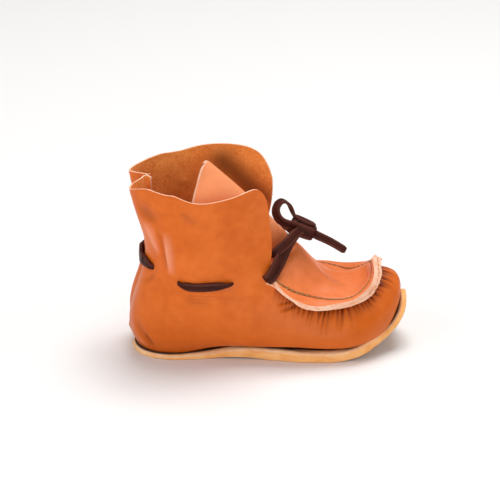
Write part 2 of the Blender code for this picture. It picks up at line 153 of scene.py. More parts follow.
floor_shape = bmesh.new()
bmesh.ops.create_grid(floor_shape, x_segments=1, y_segments=1, size=FLOOR_SIZE)
floor_mesh = bpy.data.meshes.new("floor")
floor_shape.to_mesh(floor_mesh)
floor_shape.free()
floor = add_object("floor", floor_mesh)
paper = bpy.data.materials.new("white paper")
paper.use_nodes = True
paper.node_tree.nodes["Principled BSDF"].inputs["Base Color"].default_value = PAPER_TINT
paper.node_tree.nodes["Principled BSDF"].inputs["Roughness"].default_value = PAPER_ROUGH
floor_mesh.materials.append(paper)
print(len(LAMPS), "lamps and a floor")

# %% [markdown]
# ## The pattern
# The solids come from a table of sections round the shoe, joined by smooth curves both round the shoe and up
# the wall. The same table is used here with a much finer mesh, so that the dressed boot keeps the solids'
# shape, and then gathers, creases and cut edges are added on top of it.

# %% Sizes of the leather
UPPER_WALL = 1.4
APRON_THICK = 1.8
APRON_CLEAR = 0.4
SOLE_THICK = 3.6
CLEAR = 0.3
INSOLE_THICK = 1.2
INSOLE_CLEAR = 0.5
INSOLE_SHARE = 0.85
INSOLE_END = 128.0
LACE_WIDTH = 4.2
LACE_THICK = 1.7
BALL_HALF = 27.8
FLAT_LENGTH = 144.4
CURL_START = 100.0
CURL_TURN = math.radians(88)
CURL_POWER = 1.3
CURL_STEPS = 1200
EDGE_DISH = 1.1
DISH_FADE = 20.0
ARCH_RISE = 0.8
ARCH_FROM, ARCH_TO = 33.0, 66.0
SPINE_HEEL, SPINE_TOE = 17.0, 124.0
FAR_FULLNESS = 1.07
SEAM_DEPTH = 8.5
SEAM_WIDTH = 4.6
SEAM_POWER = 2.4
TURN_STEP = 0.1

# %% Sections round the shoe
Section = namedtuple(
    "Section", "name sole ledge low high rim middle collar far_forward far_lift flange tilt"
)
SECTIONS = [
    Section("heel seam", (0, 0), 1.3, (-2.2, 0, 13.5), (-1.6, 0, 28), (5.3, 0, 51), (3, 0, 69),
            (-1.5, 0, 86), 0, 0, 0, 0),
    Section("heel corner", (5, 12.4), 1.3, (2.2, 14, 13), (2.4, 14, 27.5), (8.2, 13.4, 48),
            (5.2, 13.4, 67.5), (0.8, 11.5, 85.3), 0, 1.5, 0, 0),
    Section("heel side", (17, 18.4), 1.6, (15.2, 20.8, 12), (15, 22, 26), (18, 22.6, 44),
            (15.5, 23.4, 66), (12.5, 22, 87.3), 0, 0.5, 0, 0),
    Section("quarter", (37, 18.4), 2.6, (35.5, 22.8, 11), (35, 26, 25), (34, 26.6, 41.5),
            (34, 27.4, 63), (33.8, 28, 83.5), 2, 8, 0, 0),
    Section("quarter front", (48, 19.2), 3.0, (47.5, 24.4, 11), (47.5, 27.2, 25), (48, 26.4, 41.2),
            (50.4, 25, 62.5), (50.6, 25, 87.2), 6, 4.5, 0, 0),
    Section("throat", (60, 21), 3.2, (59.5, 26, 11), (60.5, 27, 25), (62.3, 22.4, 40.3),
            (64.8, 17.3, 61), (63.2, 17.4, 80), 5.5, 2.5, 0.5, 0),
    Section("instep", (75, 24.9), 3.4, (75.5, 28.4, 10.5), (77, 28, 20.5), (79, 22.6, 30.6),
            (80, 15, 37), (80.5, 8, 41), 0, -0.6, 3.4, -4),
    Section("ball", (90, 26.8), 3.4, (92, 29.2, 10), (93, 27.8, 19), (94, 21.4, 27.8),
            (94.5, 14.5, 32), (95, 7, 34.5), 0, -1.5, 4.2, -6),
    Section("toe side", (106, 25.2), 3.2, (107.4, 27, 10.5), (107.4, 25.4, 20), (104.4, 19, 28.4),
            (101.5, 13, 31.5), (99, 7, 33), 0, -3.0, 4.4, 6),
    Section("toe corner", (121.8, 18.4), 3.4, (120, 17.8, 14.2), (119, 16.6, 24.4), (112.2, 13.4, 31.2),
            (106.5, 9.5, 32), (100.5, 5.5, 32.5), 0, -2.7, 4.6, 32),
    Section("toe front", (135.6, 11.2), 5.4, (126.6, 9.6, 20.6), (125.2, 9, 30.2), (116.2, 7.2, 34.6),
            (108, 5.2, 33.5), (100, 3, 32), 0, -1.1, 4.8, 58),
    Section("toe", (FLAT_LENGTH, 0), 8, (128.5, 0, 25.6), (126.6, 0, 33.8), (117.2, 0, 36.2),
            (108, 0, 34.2), (99, 0, 31.5), 0, 0, 5, 68),
]
THROAT = [section.name for section in SECTIONS].index("throat")
LEVELS = ("feather", "low", "high", "rim", "middle", "collar")
RIM_LEVEL = LEVELS.index("rim")
COLLAR_LEVEL = LEVELS.index("collar")
RIDGE = [(104.5, 32.2), (97.5, 33.2), (91.8, 36.2), (86.6, 42.1), (80.4, 49.8), (75.2, 55),
         (65, 66.4), (54, 77.8), (45, 86.7), (37.3, 94.0)]
RIDGE_THROAT = 4
TONGUE_EDGE = [(37.3, 0, 94.0, 0), (36.3, 1.2, 93.9, 0), (32, 8.5, 87.2, 0.4), (29.2, 15.6, 79.2, 0.8),
               (29.8, 19, 70, 1), (36, 20.4, 59.5, 0.8), (47, 20.2, 50.5, 0.3), (56, 19.6, 45, 0)]
TONGUE_TURN = 7.0
SEAM_INSIDE = 3.0
THROAT_INSIDE = 3.9
THROAT_TAPER = 6.5
FAN = 26.0
FAR_TILTS = {"ball": -3, "toe side": 8, "toe corner": 10, "toe front": 34}
DRAPE = {"throat": (-24, 2.6), "instep": (-17, 1.5), "ball": (-3, 0.5), "toe side": (-2, 0.7),
         "toe corner": (-2, 1.1), "toe front": (0, 0.2)}
print(len(SECTIONS), "sections on each side")

# %% [markdown]
# A cubic spline is a weighted sum of the values at its knots. Working out the weights once, as a matrix, lets
# the same matrix carry every column of the table, and two of them, one round the shoe and one up the wall,
# make the whole curved leather from 12 by 6 named points.

# %% Smooth curves through tables


def spline_weights(knots, places, closed=False):
    """Row i blends the values at the knots into the value at places[i]."""
    gaps = np.diff(knots)
    count = len(knots) - closed
    bends, pulls = np.zeros((2, count, count))
    for i in range(count):
        if not closed and i in (0, count - 1):
            bends[i, i] = 1
            continue
        before, after = gaps[i - 1], gaps[i]
        for j, bend, pull in (
            (i - 1, before / 6, 1 / before),
            (i, (before + after) / 3, -1 / before - 1 / after),
            ((i + 1) % count, after / 6, 1 / after),
        ):
            bends[i, j] += bend
            pulls[i, j] += pull
    curvature = np.linalg.solve(bends, pulls)
    span = np.clip(np.searchsorted(knots, places, side="right") - 1, 0, len(gaps) - 1)
    gap = gaps[span][:, None]
    right = (np.asarray(places, float) - knots[span])[:, None] / gap
    left = 1 - right
    after = (span + 1) % count
    values = np.eye(count)
    return (
        left * values[span]
        + right * values[after]
        + (left**3 - left) * gap**2 / 6 * curvature[span]
        + (right**3 - right) * gap**2 / 6 * curvature[after]
    )


def unit(vectors):
    return vectors / np.maximum(np.linalg.norm(vectors, axis=-1, keepdims=True), 1e-9)


def arc_lengths(points):
    """How far along a line of points each one lies."""
    steps = np.linalg.norm(np.diff(points, axis=0), axis=-1)
    return np.concatenate([np.zeros((1, *steps.shape[1:])), np.cumsum(steps, axis=0)])


def along_route(points, shares):
    """Points at the given shares of the smooth curve through a route."""
    points = np.asarray(points, float)
    knots = arc_lengths(points)
    return spline_weights(knots, np.asarray(shares) * knots[-1]) @ points


def between(places, knots, points):
    """Points of a line at the given distances along it, where knots are its own points' distances."""
    return np.stack([np.interp(places, knots, points[:, axis]) for axis in range(3)], axis=-1)


def looked_up(table, places):
    """Straight lines through a table of places and values."""
    return np.interp(places, *np.transpose(table))


def eased(table, places):
    """The smooth curve through a table of places and values, level with its ends beyond them."""
    knots, values = np.transpose(np.array(table, float))
    return spline_weights(knots, np.clip(places, knots[0], knots[-1])) @ values


def smooth_step(value):
    value = np.clip(value, 0, 1)
    return value * value * (3 - 2 * value)


def rising(value, start, run):
    """0 up to start, 1 once run past it, smooth between."""
    return smooth_step((value - start) / run)


def bell(value, width):
    """1 at nothing, and almost nothing at twice the width."""
    return np.exp(-((value / width) ** 2))


# %% Round the shoe
outline = np.array([section.sole for section in SECTIONS], float)
near_knots = arc_lengths(outline)
ROUND = 2 * near_knots[-1]
ring_knots = np.concatenate([near_knots, ROUND - near_knots[-2::-1]])
throat = near_knots[THROAT]


def ring(near_values, far_values):
    """A column's values round the whole shoe, back to just before the heel seam."""
    return np.array(list(near_values) + list(far_values[-2:0:-1]), float)


def weights_round(places):
    return spline_weights(ring_knots, np.mod(places, ROUND), closed=True)


def sole_point(along, out, up):
    """A place on the curled sole: along and out on the flat leather, up from its bottom."""
    along, out, up = np.broadcast_arrays(*(np.asarray(value, float) for value in (along, out, up)))
    steps = np.linspace(0, FLAT_LENGTH, CURL_STEPS)
    turns = CURL_TURN * np.clip((steps - CURL_START) / (FLAT_LENGTH - CURL_START), 0, None) ** CURL_POWER
    step = steps[1]
    curled_x = np.concatenate([[0], np.cumsum(np.cos(turns[:-1]) * step)])
    curled_z = np.concatenate([[0], np.cumsum(np.sin(turns[:-1]) * step)])
    turn = np.interp(along, steps, turns)
    waist = np.clip((along - ARCH_FROM) / (ARCH_TO - ARCH_FROM), 0, 1)
    past_start = np.clip((along - CURL_START) / DISH_FADE, 0, 1)
    toe = past_start * np.clip((FLAT_LENGTH - along) / DISH_FADE, 0, 1)
    rise = ARCH_RISE * np.sin(np.pi * waist) ** 2 + EDGE_DISH * toe * (out / BALL_HALF) ** 2
    lifted = up + rise
    return np.stack(
        [
            np.interp(along, steps, curled_x) - lifted * np.sin(turn),
            out,
            np.interp(along, steps, curled_z) + lifted * np.cos(turn),
        ],
        axis=-1,
    )


def sole_outline(places, inset):
    """Flat places along and out of the sole's edge, drawn in by inset."""
    near = [(section.sole[0], -section.sole[1]) for section in SECTIONS]
    far = [(section.sole[0], section.sole[1] * FAR_FULLNESS) for section in SECTIONS]
    weights = weights_round(places)
    ahead, behind = (weights_round(places + turn) @ ring(near, far) for turn in (TURN_STEP, -TURN_STEP))
    run = unit(ahead - behind)
    inward = np.stack([-run[:, 1], run[:, 0]], axis=1)
    return weights @ ring(near, far) + inward * np.reshape(inset, (-1, 1))


def ledge(places):
    widths = [section.ledge for section in SECTIONS]
    return weights_round(places) @ ring(widths, widths)


# %% The upper's outer face


def section_levels(side):
    """The sections' places at each level, feather to collar, on the near side (-1) or the far side (+1)."""
    rows = []
    for place, section in enumerate(SECTIONS):
        row = []
        for number, level in enumerate(LEVELS[1:], 1):
            along, out, up = getattr(section, level)
            if side > 0:
                over_rim = max(0, number - RIM_LEVEL) / (COLLAR_LEVEL - RIM_LEVEL)
                to_rim = min(1, (number - 1) / (RIM_LEVEL - 1))
                along += section.far_forward * over_rim
                up += section.far_lift * (over_rim if place <= THROAT else to_rim)
                out *= FAR_FULLNESS if number < RIM_LEVEL else 1
            row.append((along, side * out, up))
        rows.append(row)
    return rows


flat_feather = sole_outline(ring_knots[:-1], ledge(ring_knots[:-1]))
feather = sole_point(flat_feather[:, 0], flat_feather[:, 1], SOLE_THICK + CLEAR)
PATTERN = np.concatenate([feather[:, None], ring(section_levels(-1), section_levels(1))], axis=1)
LEVEL_KNOTS = np.arange(len(LEVELS), dtype=float)


def upper_form(places, levels):
    """The upper's outer face, as a grid of points: places round the shoe by levels up the wall."""
    across = weights_round(places)
    up = spline_weights(LEVEL_KNOTS, np.asarray(levels, float))
    grid = np.einsum("pi,lk,ikc->plc", across, up, PATTERN)
    depth = SEAM_DEPTH * (np.clip(levels, 0, None) / COLLAR_LEVEL) ** SEAM_POWER
    from_seam = np.minimum(np.mod(places, ROUND), ROUND - np.mod(places, ROUND))
    at_heel = (from_seam < throat / 2)[:, None]
    grid[..., 0] += at_heel * depth * bell(grid[..., 1], SEAM_WIDTH)
    return grid


def upper_normals(places, levels):
    """The direction straight out of the upper, over the same grid."""
    run = upper_form(places + TURN_STEP, levels) - upper_form(places - TURN_STEP, levels)
    rise = upper_form(places, levels + TURN_STEP) - upper_form(places, levels - TURN_STEP)
    return unit(np.cross(run, rise))


def on_upper(places, levels):
    """Points and normals on the upper, each with a place and a level of its own."""
    each = np.arange(len(places))
    return upper_form(places, levels)[each, each], upper_normals(places, levels)[each, each]


def rim_frame(places):
    """The out-seam round the forefoot: its points, the rim's direction, its face's, and its reach."""
    seam = upper_form(places, [RIM_LEVEL])[:, 0]
    ahead, behind = (upper_form(places + turn, [RIM_LEVEL])[:, 0] for turn in (TURN_STEP, -TURN_STEP))
    run = ahead - behind
    out = unit(np.stack([run[:, 1], -run[:, 0], np.zeros(len(run))], axis=1))
    weights = weights_round(places)
    near_tilts = [math.radians(section.tilt) for section in SECTIONS]
    far_tilts = [math.radians(FAR_TILTS.get(section.name, section.tilt)) for section in SECTIONS]
    drapes = [math.radians(DRAPE.get(section.name, (0, 0))[0]) for section in SECTIONS]
    extras = [DRAPE.get(section.name, (0, 0))[1] for section in SECTIONS]
    widths = [section.flange for section in SECTIONS]
    from_throat = np.minimum(places, ROUND - places) - throat
    into_throat = np.clip(1 - from_throat / THROAT_TAPER, 0, 1) ** 2
    tilt = weights @ ring(near_tilts, far_tilts) + weights @ ring(drapes, drapes) * (1 - into_throat)
    flange = np.cos(tilt)[:, None] * out + np.sin(tilt)[:, None] * np.array([0.0, 0.0, 1.0])
    width = weights @ ring(widths, widths) + weights @ ring(extras, extras) * (1 - into_throat)
    return seam, flange, unit(np.cross(flange, run)), width - THROAT_INSIDE * into_throat


# The rim's own length, from the near throat round the toe to the far throat
RIM_SAMPLES = 1601
rim_places = np.linspace(throat, ROUND - throat, RIM_SAMPLES)
rim_arc = arc_lengths(upper_form(rim_places, [RIM_LEVEL])[:, 0])
RIM_LENGTH = rim_arc[-1]
print("round the sole", round(ROUND, 1), "mm; round the rim", round(RIM_LENGTH, 1), "mm")

# %% [markdown]
# ## Meshes from a form
# Each leather piece starts as a flat grid, made by one operator, whose points are then laid on the piece's
# form, as a sheet of leather is laid over a last. Where two sheets share an edge, merging the doubles sews
# them together. A few numbers go along with the points, such as how deep in a crease each one lies, for the
# materials to read.

# %% Mesh helpers
MERGE = 0.004


def new_shape(*numbers):
    """An empty bmesh with a UV map and the named per-point numbers."""
    shape = bmesh.new()
    shape.loops.layers.uv.new("pattern")
    for name in numbers:
        shape.verts.layers.float.new(name)
    return shape


def lay_sheet(shape, grid, uv=None, finish=0, **numbers):
    """A grid of faces through points that are given by column and row."""
    columns, rows = grid.shape[:2]
    made = bmesh.ops.create_grid(shape, x_segments=columns - 1, y_segments=rows - 1, size=1)["verts"]
    layers = {name: shape.verts.layers.float[name] for name in numbers}
    pattern = shape.loops.layers.uv["pattern"]
    places = {}
    for vert in made:
        column = round((vert.co.x + 1) / 2 * (columns - 1))
        row = round((vert.co.y + 1) / 2 * (rows - 1))
        places[vert] = column, row
        for name, layer in layers.items():
            vert[layer] = numbers[name][column, row]
    faces = {face for vert in made for face in vert.link_faces}
    for face in faces:
        spots = [places[loop.vert] for loop in face.loops]
        if not np.isscalar(finish):
            face.material_index = int(finish[min(row for _, row in spots)])
        if uv is not None:
            for loop, spot in zip(face.loops, spots):
                loop[pattern].uv = uv[0][spot] * MM, uv[1][spot] * MM
    for vert, spot in places.items():
        vert.co = grid[spot]
    return made


def make_piece(name, shape, materials, slot, *replaced):
    """The finished object: its doubles merged, its cut edges crisp, in metres, riding on the one body."""
    bmesh.ops.remove_doubles(shape, verts=shape.verts, dist=MERGE)
    bmesh.ops.dissolve_degenerate(shape, edges=shape.edges, dist=MERGE / 4)
    for edge in shape.edges:
        if edge.is_boundary:
            edge.smooth = False
    for vert in shape.verts:
        vert.co = to_row(vert.co)
    mesh = bpy.data.meshes.new(name)
    shape.to_mesh(mesh)
    shape.free()
    mesh.shade_smooth()
    made = add_object(name, mesh)
    for material in materials:
        mesh.materials.append(material)
    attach(made, "root")
    if replaced:
        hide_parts(*replaced)
    if "thick" in mesh.attributes:
        group = made.vertex_groups.new(name="thick")
        for index, item in enumerate(mesh.attributes["thick"].data):
            group.add([index], item.value, "REPLACE")
    print(name, len(mesh.polygons), "faces")
    return made


def turn_outwards(shape):
    """Makes a closed shape's faces point out."""
    bmesh.ops.remove_doubles(shape, verts=shape.verts, dist=MERGE)
    bmesh.ops.recalc_face_normals(shape, faces=shape.faces)
    if shape.calc_volume(signed=True) < 0:
        bmesh.ops.reverse_faces(shape, faces=shape.faces)


def thicken(made, thickness, inside, edge):
    """Gives a sheet its leather on the inner side, with one finish inside and one on the cut edge."""
    wall = made.modifiers.new("leather", "SOLIDIFY")
    wall.thickness = thickness * MM
    wall.offset = -1
    wall.use_even_offset = False
    wall.use_quality_normals = True
    wall.material_offset = inside
    wall.material_offset_rim = edge
    if "thick" in made.vertex_groups:
        wall.vertex_group = "thick"


# %% [markdown]
# ## Finishes
# Leather is read by its grain, its sheen and how its colour drifts. Every finish here is built from nodes on
# Object coordinates, in metres, so a scale of 2500 is a grain of 0.4 mm. A helper adds nodes and sockets by
# name, which keeps each finish short enough to read: noise takes a scale and its detail, a ramp takes places
# from 0 to 1 with their colours, spread takes the values it gives and the values they come from, and a bump
# takes its depth in millimetres and its strength.

# %% A helper for finishes


class Finish:
    """One material, with short ways to add a node and join it to others."""

    def __init__(self, name, roughness, **sockets):
        self.material = bpy.data.materials.new(name)
        self.material.use_nodes = True
        self.tree = self.material.node_tree
        self.surface = self.tree.nodes["Principled BSDF"]
        self.surface.inputs["Roughness"].default_value = roughness
        for socket, value in sockets.items():
            self.surface.inputs[socket.replace("_", " ")].default_value = value
        self.place = self.add("ShaderNodeTexCoord").outputs["Object"]
        self.bumps = None

    def add(self, kind, **settings):
        node = self.tree.nodes.new(kind)
        for key, value in settings.items():
            setattr(node, key, value)
        return node

    def feed(self, node, **sockets):
        for name, value in sockets.items():
            socket = node.inputs[name.replace("_", " ")]
            if isinstance(value, bpy.types.NodeSocket):
                self.tree.links.new(value, socket)
            else:
                socket.default_value = value
        return node

    def stretched(self, source, scale):
        return self.feed(self.add("ShaderNodeMapping"), Vector=source, Scale=scale).outputs["Vector"]

    def noise(self, scale, detail=3.0, source=None, roughness=0.55):
        node = self.add("ShaderNodeTexNoise")
        source = self.place if source is None else source
        return self.feed(node, Vector=source, Scale=scale, Detail=detail, Roughness=roughness).outputs["Fac"]

    def cells(self, scale):
        node = self.add("ShaderNodeTexVoronoi", feature="SMOOTH_F1")
        return self.feed(node, Vector=self.place, Scale=scale).outputs["Distance"]

    def ramp(self, value, *stops):
        node = self.feed(self.add("ShaderNodeValToRGB"), Fac=value)
        while len(node.color_ramp.elements) < len(stops):
            node.color_ramp.elements.new(0.5)
        for element, (position, colour) in zip(node.color_ramp.elements, stops):
            element.position = position
            element.color = (*colour, 1)
        return node.outputs["Color"]

    def mix(self, share, first, second, blend="MIX"):
        node = self.add("ShaderNodeMix", data_type="RGBA", blend_type=blend)
        for index, value in ((0, share), (6, first), (7, second)):
            if isinstance(value, bpy.types.NodeSocket):
                self.tree.links.new(value, node.inputs[index])
            else:
                node.inputs[index].default_value = value if index == 0 else (*value, 1)
        return node.outputs[2]

    def spread(self, value, low, high, start=0.0, end=1.0):
        node = self.feed(self.add("ShaderNodeMapRange"), Value=value)
        for socket, number in (("From Min", start), ("From Max", end), ("To Min", low), ("To Max", high)):
            node.inputs[socket].default_value = number
        return node.outputs["Result"]

    def number(self, name):
        return self.add("ShaderNodeAttribute", attribute_name=name).outputs["Fac"]

    def pattern(self):
        return self.add("ShaderNodeUVMap", uv_map="pattern").outputs["UV"]

    def bump(self, height, depth_mm, strength=1.0):
        node = self.feed(self.add("ShaderNodeBump"), Height=height, Strength=strength)
        node.inputs["Distance"].default_value = depth_mm * MM
        if self.bumps is not None:
            self.tree.links.new(self.bumps, node.inputs["Normal"])
        self.bumps = node.outputs["Normal"]
        self.tree.links.new(self.bumps, self.surface.inputs["Normal"])

    def colour(self, value):
        self.feed(self.surface, Base_Color=value)

    def rough(self, value):
        self.feed(self.surface, Roughness=value)


# %% [markdown]
# ## Leather finishes
# The outside is a smooth dyed grain: an orange-tan that drifts a little, a soft sheen that comes from a thin
# waxy coat, and fine cells of grain. Light and shade are painted into its colour as well: painted shade in
# folds, under the rim and low on the wall, and painted highlight on ridges and up the tongue. The inside of
# the same hide is its flesh side, brown, matt and fibrous. Where it is cut, the edge shows the pale undyed
# middle of the hide.

# %% Outside, inside and cut edge
# Painted shade: the grain darkens towards the floor, where less light reaches the lower wall
LOW_SHADE_TONE, LOW_SHADE_SHARE, LOW_SHADE_SPAN = (0.51, 0.092, 0.002), 0.72, (0.004, 0.034)
# Painted highlight: the apron's grain turns paler and pinker up the tongue, as if lit from above
TONGUE_SHEEN_SHARE, TONGUE_SHEEN_SPAN = 0.8, (0.050, 0.066)
# Painted highlight: ridges of folds and the back seam's lip turn pale pink where the crease number is below
# nothing
RIDGE_HIGHLIGHT_TONE, RIDGE_HIGHLIGHT_SHARE = (0.90, 0.33, 0.19), 0.75
# Painted shade: the grain darkens in folds, gathers, grooves and other shaded places by the crease number
CREASE_SHADE_SHARE = 0.92


def grain_leather(name, light, middle, dark, crease_shade_colour, tongue_sheen_tone=None):
    """Dyed grain: painted shade low down and in creases, painted highlight on ridges and up the tongue."""
    made = Finish(name, 0.45, Specular_IOR_Level=0.13, Coat_Weight=0.20, Coat_Roughness=0.34)
    drift = made.mix(0.4, made.noise(48, 3), made.noise(210, 5))
    colour = made.ramp(drift, (0.36, dark), (0.5, middle), (0.65, light))
    height = made.feed(made.add("ShaderNodeSeparateXYZ"), Vector=made.place).outputs["Z"]
    colour = made.mix(made.spread(height, LOW_SHADE_SHARE, 0, *LOW_SHADE_SPAN), colour, LOW_SHADE_TONE)
    if tongue_sheen_tone is not None:
        colour = made.mix(made.spread(height, 0, TONGUE_SHEEN_SHARE, *TONGUE_SHEEN_SPAN), colour, tongue_sheen_tone)
    colour = made.mix(made.spread(made.number("crease"), 0, RIDGE_HIGHLIGHT_SHARE, 0, -1), colour, RIDGE_HIGHLIGHT_TONE)
    made.colour(made.mix(made.spread(made.number("crease"), 0, CREASE_SHADE_SHARE), colour, crease_shade_colour))
    made.rough(made.spread(made.noise(420, 4), 0.36, 0.54, 0.3, 0.7))
    made.bump(made.noise(190, 2), 0.50, 0.42)
    made.bump(made.noise(900, 3), 0.14, 0.50)
    made.bump(made.cells(2300), 0.05, 0.55)
    return made.material


GRAIN = grain_leather(
    "tan grain leather", (0.80, 0.175, 0.021), (0.73, 0.145, 0.011), (0.65, 0.118, 0.006), (0.14, 0.020, 0.002)
)
APRON_GRAIN = grain_leather(
    "tan apron leather", (0.88, 0.243, 0.080), (0.835, 0.210, 0.059), (0.77, 0.179, 0.042),
    (0.16, 0.026, 0.003), tongue_sheen_tone=(0.97, 0.36, 0.155)
)


def flesh_leather(name, light, middle, dark, rubbed_tone):
    """The brushed inner side: fibres, drifting browns and a painted shadow band cast by the tongue."""
    made = Finish(name, 0.95, Specular_IOR_Level=0.2, Sheen_Weight=0.25, Sheen_Roughness=0.5)
    fibres = made.noise(900, 4, roughness=0.65)
    drift = made.mix(0.5, made.noise(85, 6, roughness=0.7), fibres)
    colour = made.ramp(drift, (0.28, dark), (0.44, middle), (0.61, light))
    made.colour(made.mix(made.number("rubbed"), colour, rubbed_tone))
    made.bump(fibres, 0.16, 0.7)
    made.bump(made.noise(2600, 2), 0.08, 0.6)
    return made.material


FLESH = flesh_leather(
    "brown flesh side", (0.98, 0.37, 0.090), (0.82, 0.255, 0.045), (0.38, 0.090, 0.012), (0.22, 0.070, 0.010)
)
SOCK = flesh_leather(
    "insole suede", (0.50, 0.16, 0.04), (0.40, 0.115, 0.024), (0.28, 0.07, 0.012), (0.28, 0.07, 0.012)
)


def cut_edge(name, light, dark):
    """The pale undyed fibres of a cut."""
    made = Finish(name, 0.8, Specular_IOR_Level=0.3)
    fibres = made.noise(1500, 4, roughness=0.7)
    patches = made.mix(0.5, made.noise(170, 3), fibres)
    made.colour(made.ramp(patches, (0.36, dark), (0.56, light)))
    made.bump(fibres, 0.12, 0.6)
    return made.material


CUT_EDGE = cut_edge("pale cut edge", (0.95, 0.62, 0.44), (0.86, 0.36, 0.19))
print("leather finishes made")

# %% [markdown]
# ## Lace finish and sole finishes
# The lace is a strip of dark brown leather with a satin face, paler at its corners. The sole is natural
# leather:
# its cut edge shows faint layers along its length, its trimmed top edge is paler, partly as painted light on
# the bevel, and its bottom is dull from the floor.

# %% Lace, thread and sole
# Painted shadow: the dark of the gap between the sole's top and the upper's lower edge
GAP_SHADOW_TONE = (0.02, 0.005, 0.001)


def lace_leather(name, light, dark, corner_tone):
    """A satin strip with streaks along it, paler at its corners."""
    made = Finish(name, 0.6, Specular_IOR_Level=0.11)
    streaks = made.noise(1.0, 4, made.stretched(made.pattern(), (60, 1900, 1)))
    colour = made.ramp(streaks, (0.34, dark), (0.66, light))
    corner_share = made.spread(made.mix(0.5, made.number("corner"), streaks), 0, 0.55, 0.5, 0.9)
    made.colour(made.mix(corner_share, colour, corner_tone))
    made.rough(made.spread(made.noise(800, 3), 0.42, 0.64, 0.3, 0.7))
    made.bump(streaks, 0.22, 0.9)
    made.bump(made.cells(2600), 0.04, 0.5)
    return made.material


def waxed_thread(name, light, dark):
    """Twisted thread, its wax a little glossy."""
    made = Finish(name, 0.6, Specular_IOR_Level=0.45)
    twist = made.noise(3200, 2)
    made.colour(made.ramp(twist, (0.35, dark), (0.65, light)))
    made.bump(twist, 0.08, 0.7)
    return made.material


def sole_finish(name, light, middle, dark, roughness):
    """Natural leather with faint layers along the edge, with painted shadow where crease says so."""
    made = Finish(name, roughness, Specular_IOR_Level=0.35)
    layers = made.noise(1.0, 4, made.stretched(made.pattern(), (90, 2600, 1)))
    patches = made.noise(160, 4)
    colour = made.ramp(made.mix(0.55, patches, layers), (0.3, dark), (0.5, middle), (0.7, light))
    made.colour(made.mix(made.number("crease"), colour, GAP_SHADOW_TONE))
    made.bump(layers, 0.12, 0.7)
    made.bump(made.noise(1800, 3), 0.06, 0.6)
    return made.material


LACE = lace_leather(
    "dark lace leather", (0.080, 0.0165, 0.0095), (0.020, 0.0036, 0.0020), (0.20, 0.062, 0.042)
)
GOLD_THREAD = waxed_thread("gold waxed thread", (0.62, 0.32, 0.085), (0.20, 0.080, 0.020))
SOLE_SIDE = sole_finish("sole cut edge", (1.0, 0.61, 0.28), (0.99, 0.49, 0.16), (0.80, 0.28, 0.055), 0.6)
# Painted light, in part: the trimmed top is paler than the cut edge, standing in for the light on the bevel
SOLE_TOP = sole_finish("sole trimmed top", (0.98, 0.70, 0.44), (0.96, 0.58, 0.31), (0.85, 0.38, 0.13), 0.65)
SOLE_UNDER = sole_finish("sole underside", (0.66, 0.35, 0.16), (0.55, 0.26, 0.10), (0.36, 0.16, 0.06), 0.85)
print("lace and sole finishes made")

# %% [markdown]
# ## The lace's strands
# The lace is one flat thong. Its two ends come out of the front slits, cross the tongue and meet in a half bow:
# one loop stands up, one end is cut off square in front, and the other is tucked back behind the collar. Each
# strand is a section with rounded corners, swept along a smooth route that repeats the solids' route. A curve
# object could sweep it too, but a mesh lets the width change at the slits and carries the paler corners.

# %% A flat thong
CORNER_STEPS = 4
CORNER_EASE = 0.42
CROWN = 0.1


def thong_section():
    """Round the thong's cut: across it and through it in millimetres, and 1 at a corner."""
    half_wide, half_thick = LACE_WIDTH / 2 - CORNER_EASE, LACE_THICK / 2 - CORNER_EASE
    points = []
    for quarter, (across, through) in enumerate([(1, 1), (-1, 1), (-1, -1), (1, -1)]):
        for step in np.linspace(0, math.pi / 2, CORNER_STEPS):
            turn = quarter * math.pi / 2 + step
            eased_across, eased_through = CORNER_EASE * math.cos(turn), CORNER_EASE * math.sin(turn)
            points.append((across * half_wide + eased_across, through * half_thick + eased_through, 1.0))
        if quarter % 2 == 0:
            points.append((0.0, through * (LACE_THICK / 2 + CROWN), 0.0))
    return np.array(points + points[:1])


def lay_thong(shape, path, facing, width=1.0, thick=1.0):
    """A flat thong along a path, its broad face turned to facing; width and thick are shares of the lace's."""
    run = unit(np.gradient(path, axis=0))
    side = unit(np.cross(run, facing))
    face = unit(np.cross(side, run))
    section = thong_section()
    count = len(path)
    across = np.outer(np.broadcast_to(width, count), section[:, 0])[..., None]
    through = np.outer(np.broadcast_to(thick, count), section[:, 1])[..., None]
    grid = path[:, None] + side[:, None] * across + face[:, None] * through
    along = np.broadcast_to(arc_lengths(path)[:, None], grid.shape[:2])
    round_it = np.broadcast_to(arc_lengths(section[:, :2])[None, :], grid.shape[:2])
    corner = np.broadcast_to(section[:, 2][None, :], grid.shape[:2])
    verts = lay_sheet(shape, grid, uv=(along, round_it), corner=corner)
    bmesh.ops.remove_doubles(shape, verts=verts, dist=MERGE / 4)
    open_edges = [edge for edge in shape.edges if edge.is_boundary]
    if open_edges:
        for face in bmesh.ops.holes_fill(shape, edges=open_edges)["faces"]:
            for edge in face.edges:
                edge.smooth = False


def route_with_facing(stops, count):
    """A smooth path through stops, each a point and the way its broad face looks."""
    points, facings = (np.array(part, float) for part in zip(*stops))
    shares = arc_lengths(points) / arc_lengths(points)[-1]
    steps = np.linspace(0, 1, count)
    return along_route(points, steps), unit(between(steps, shares, unit(facings)))


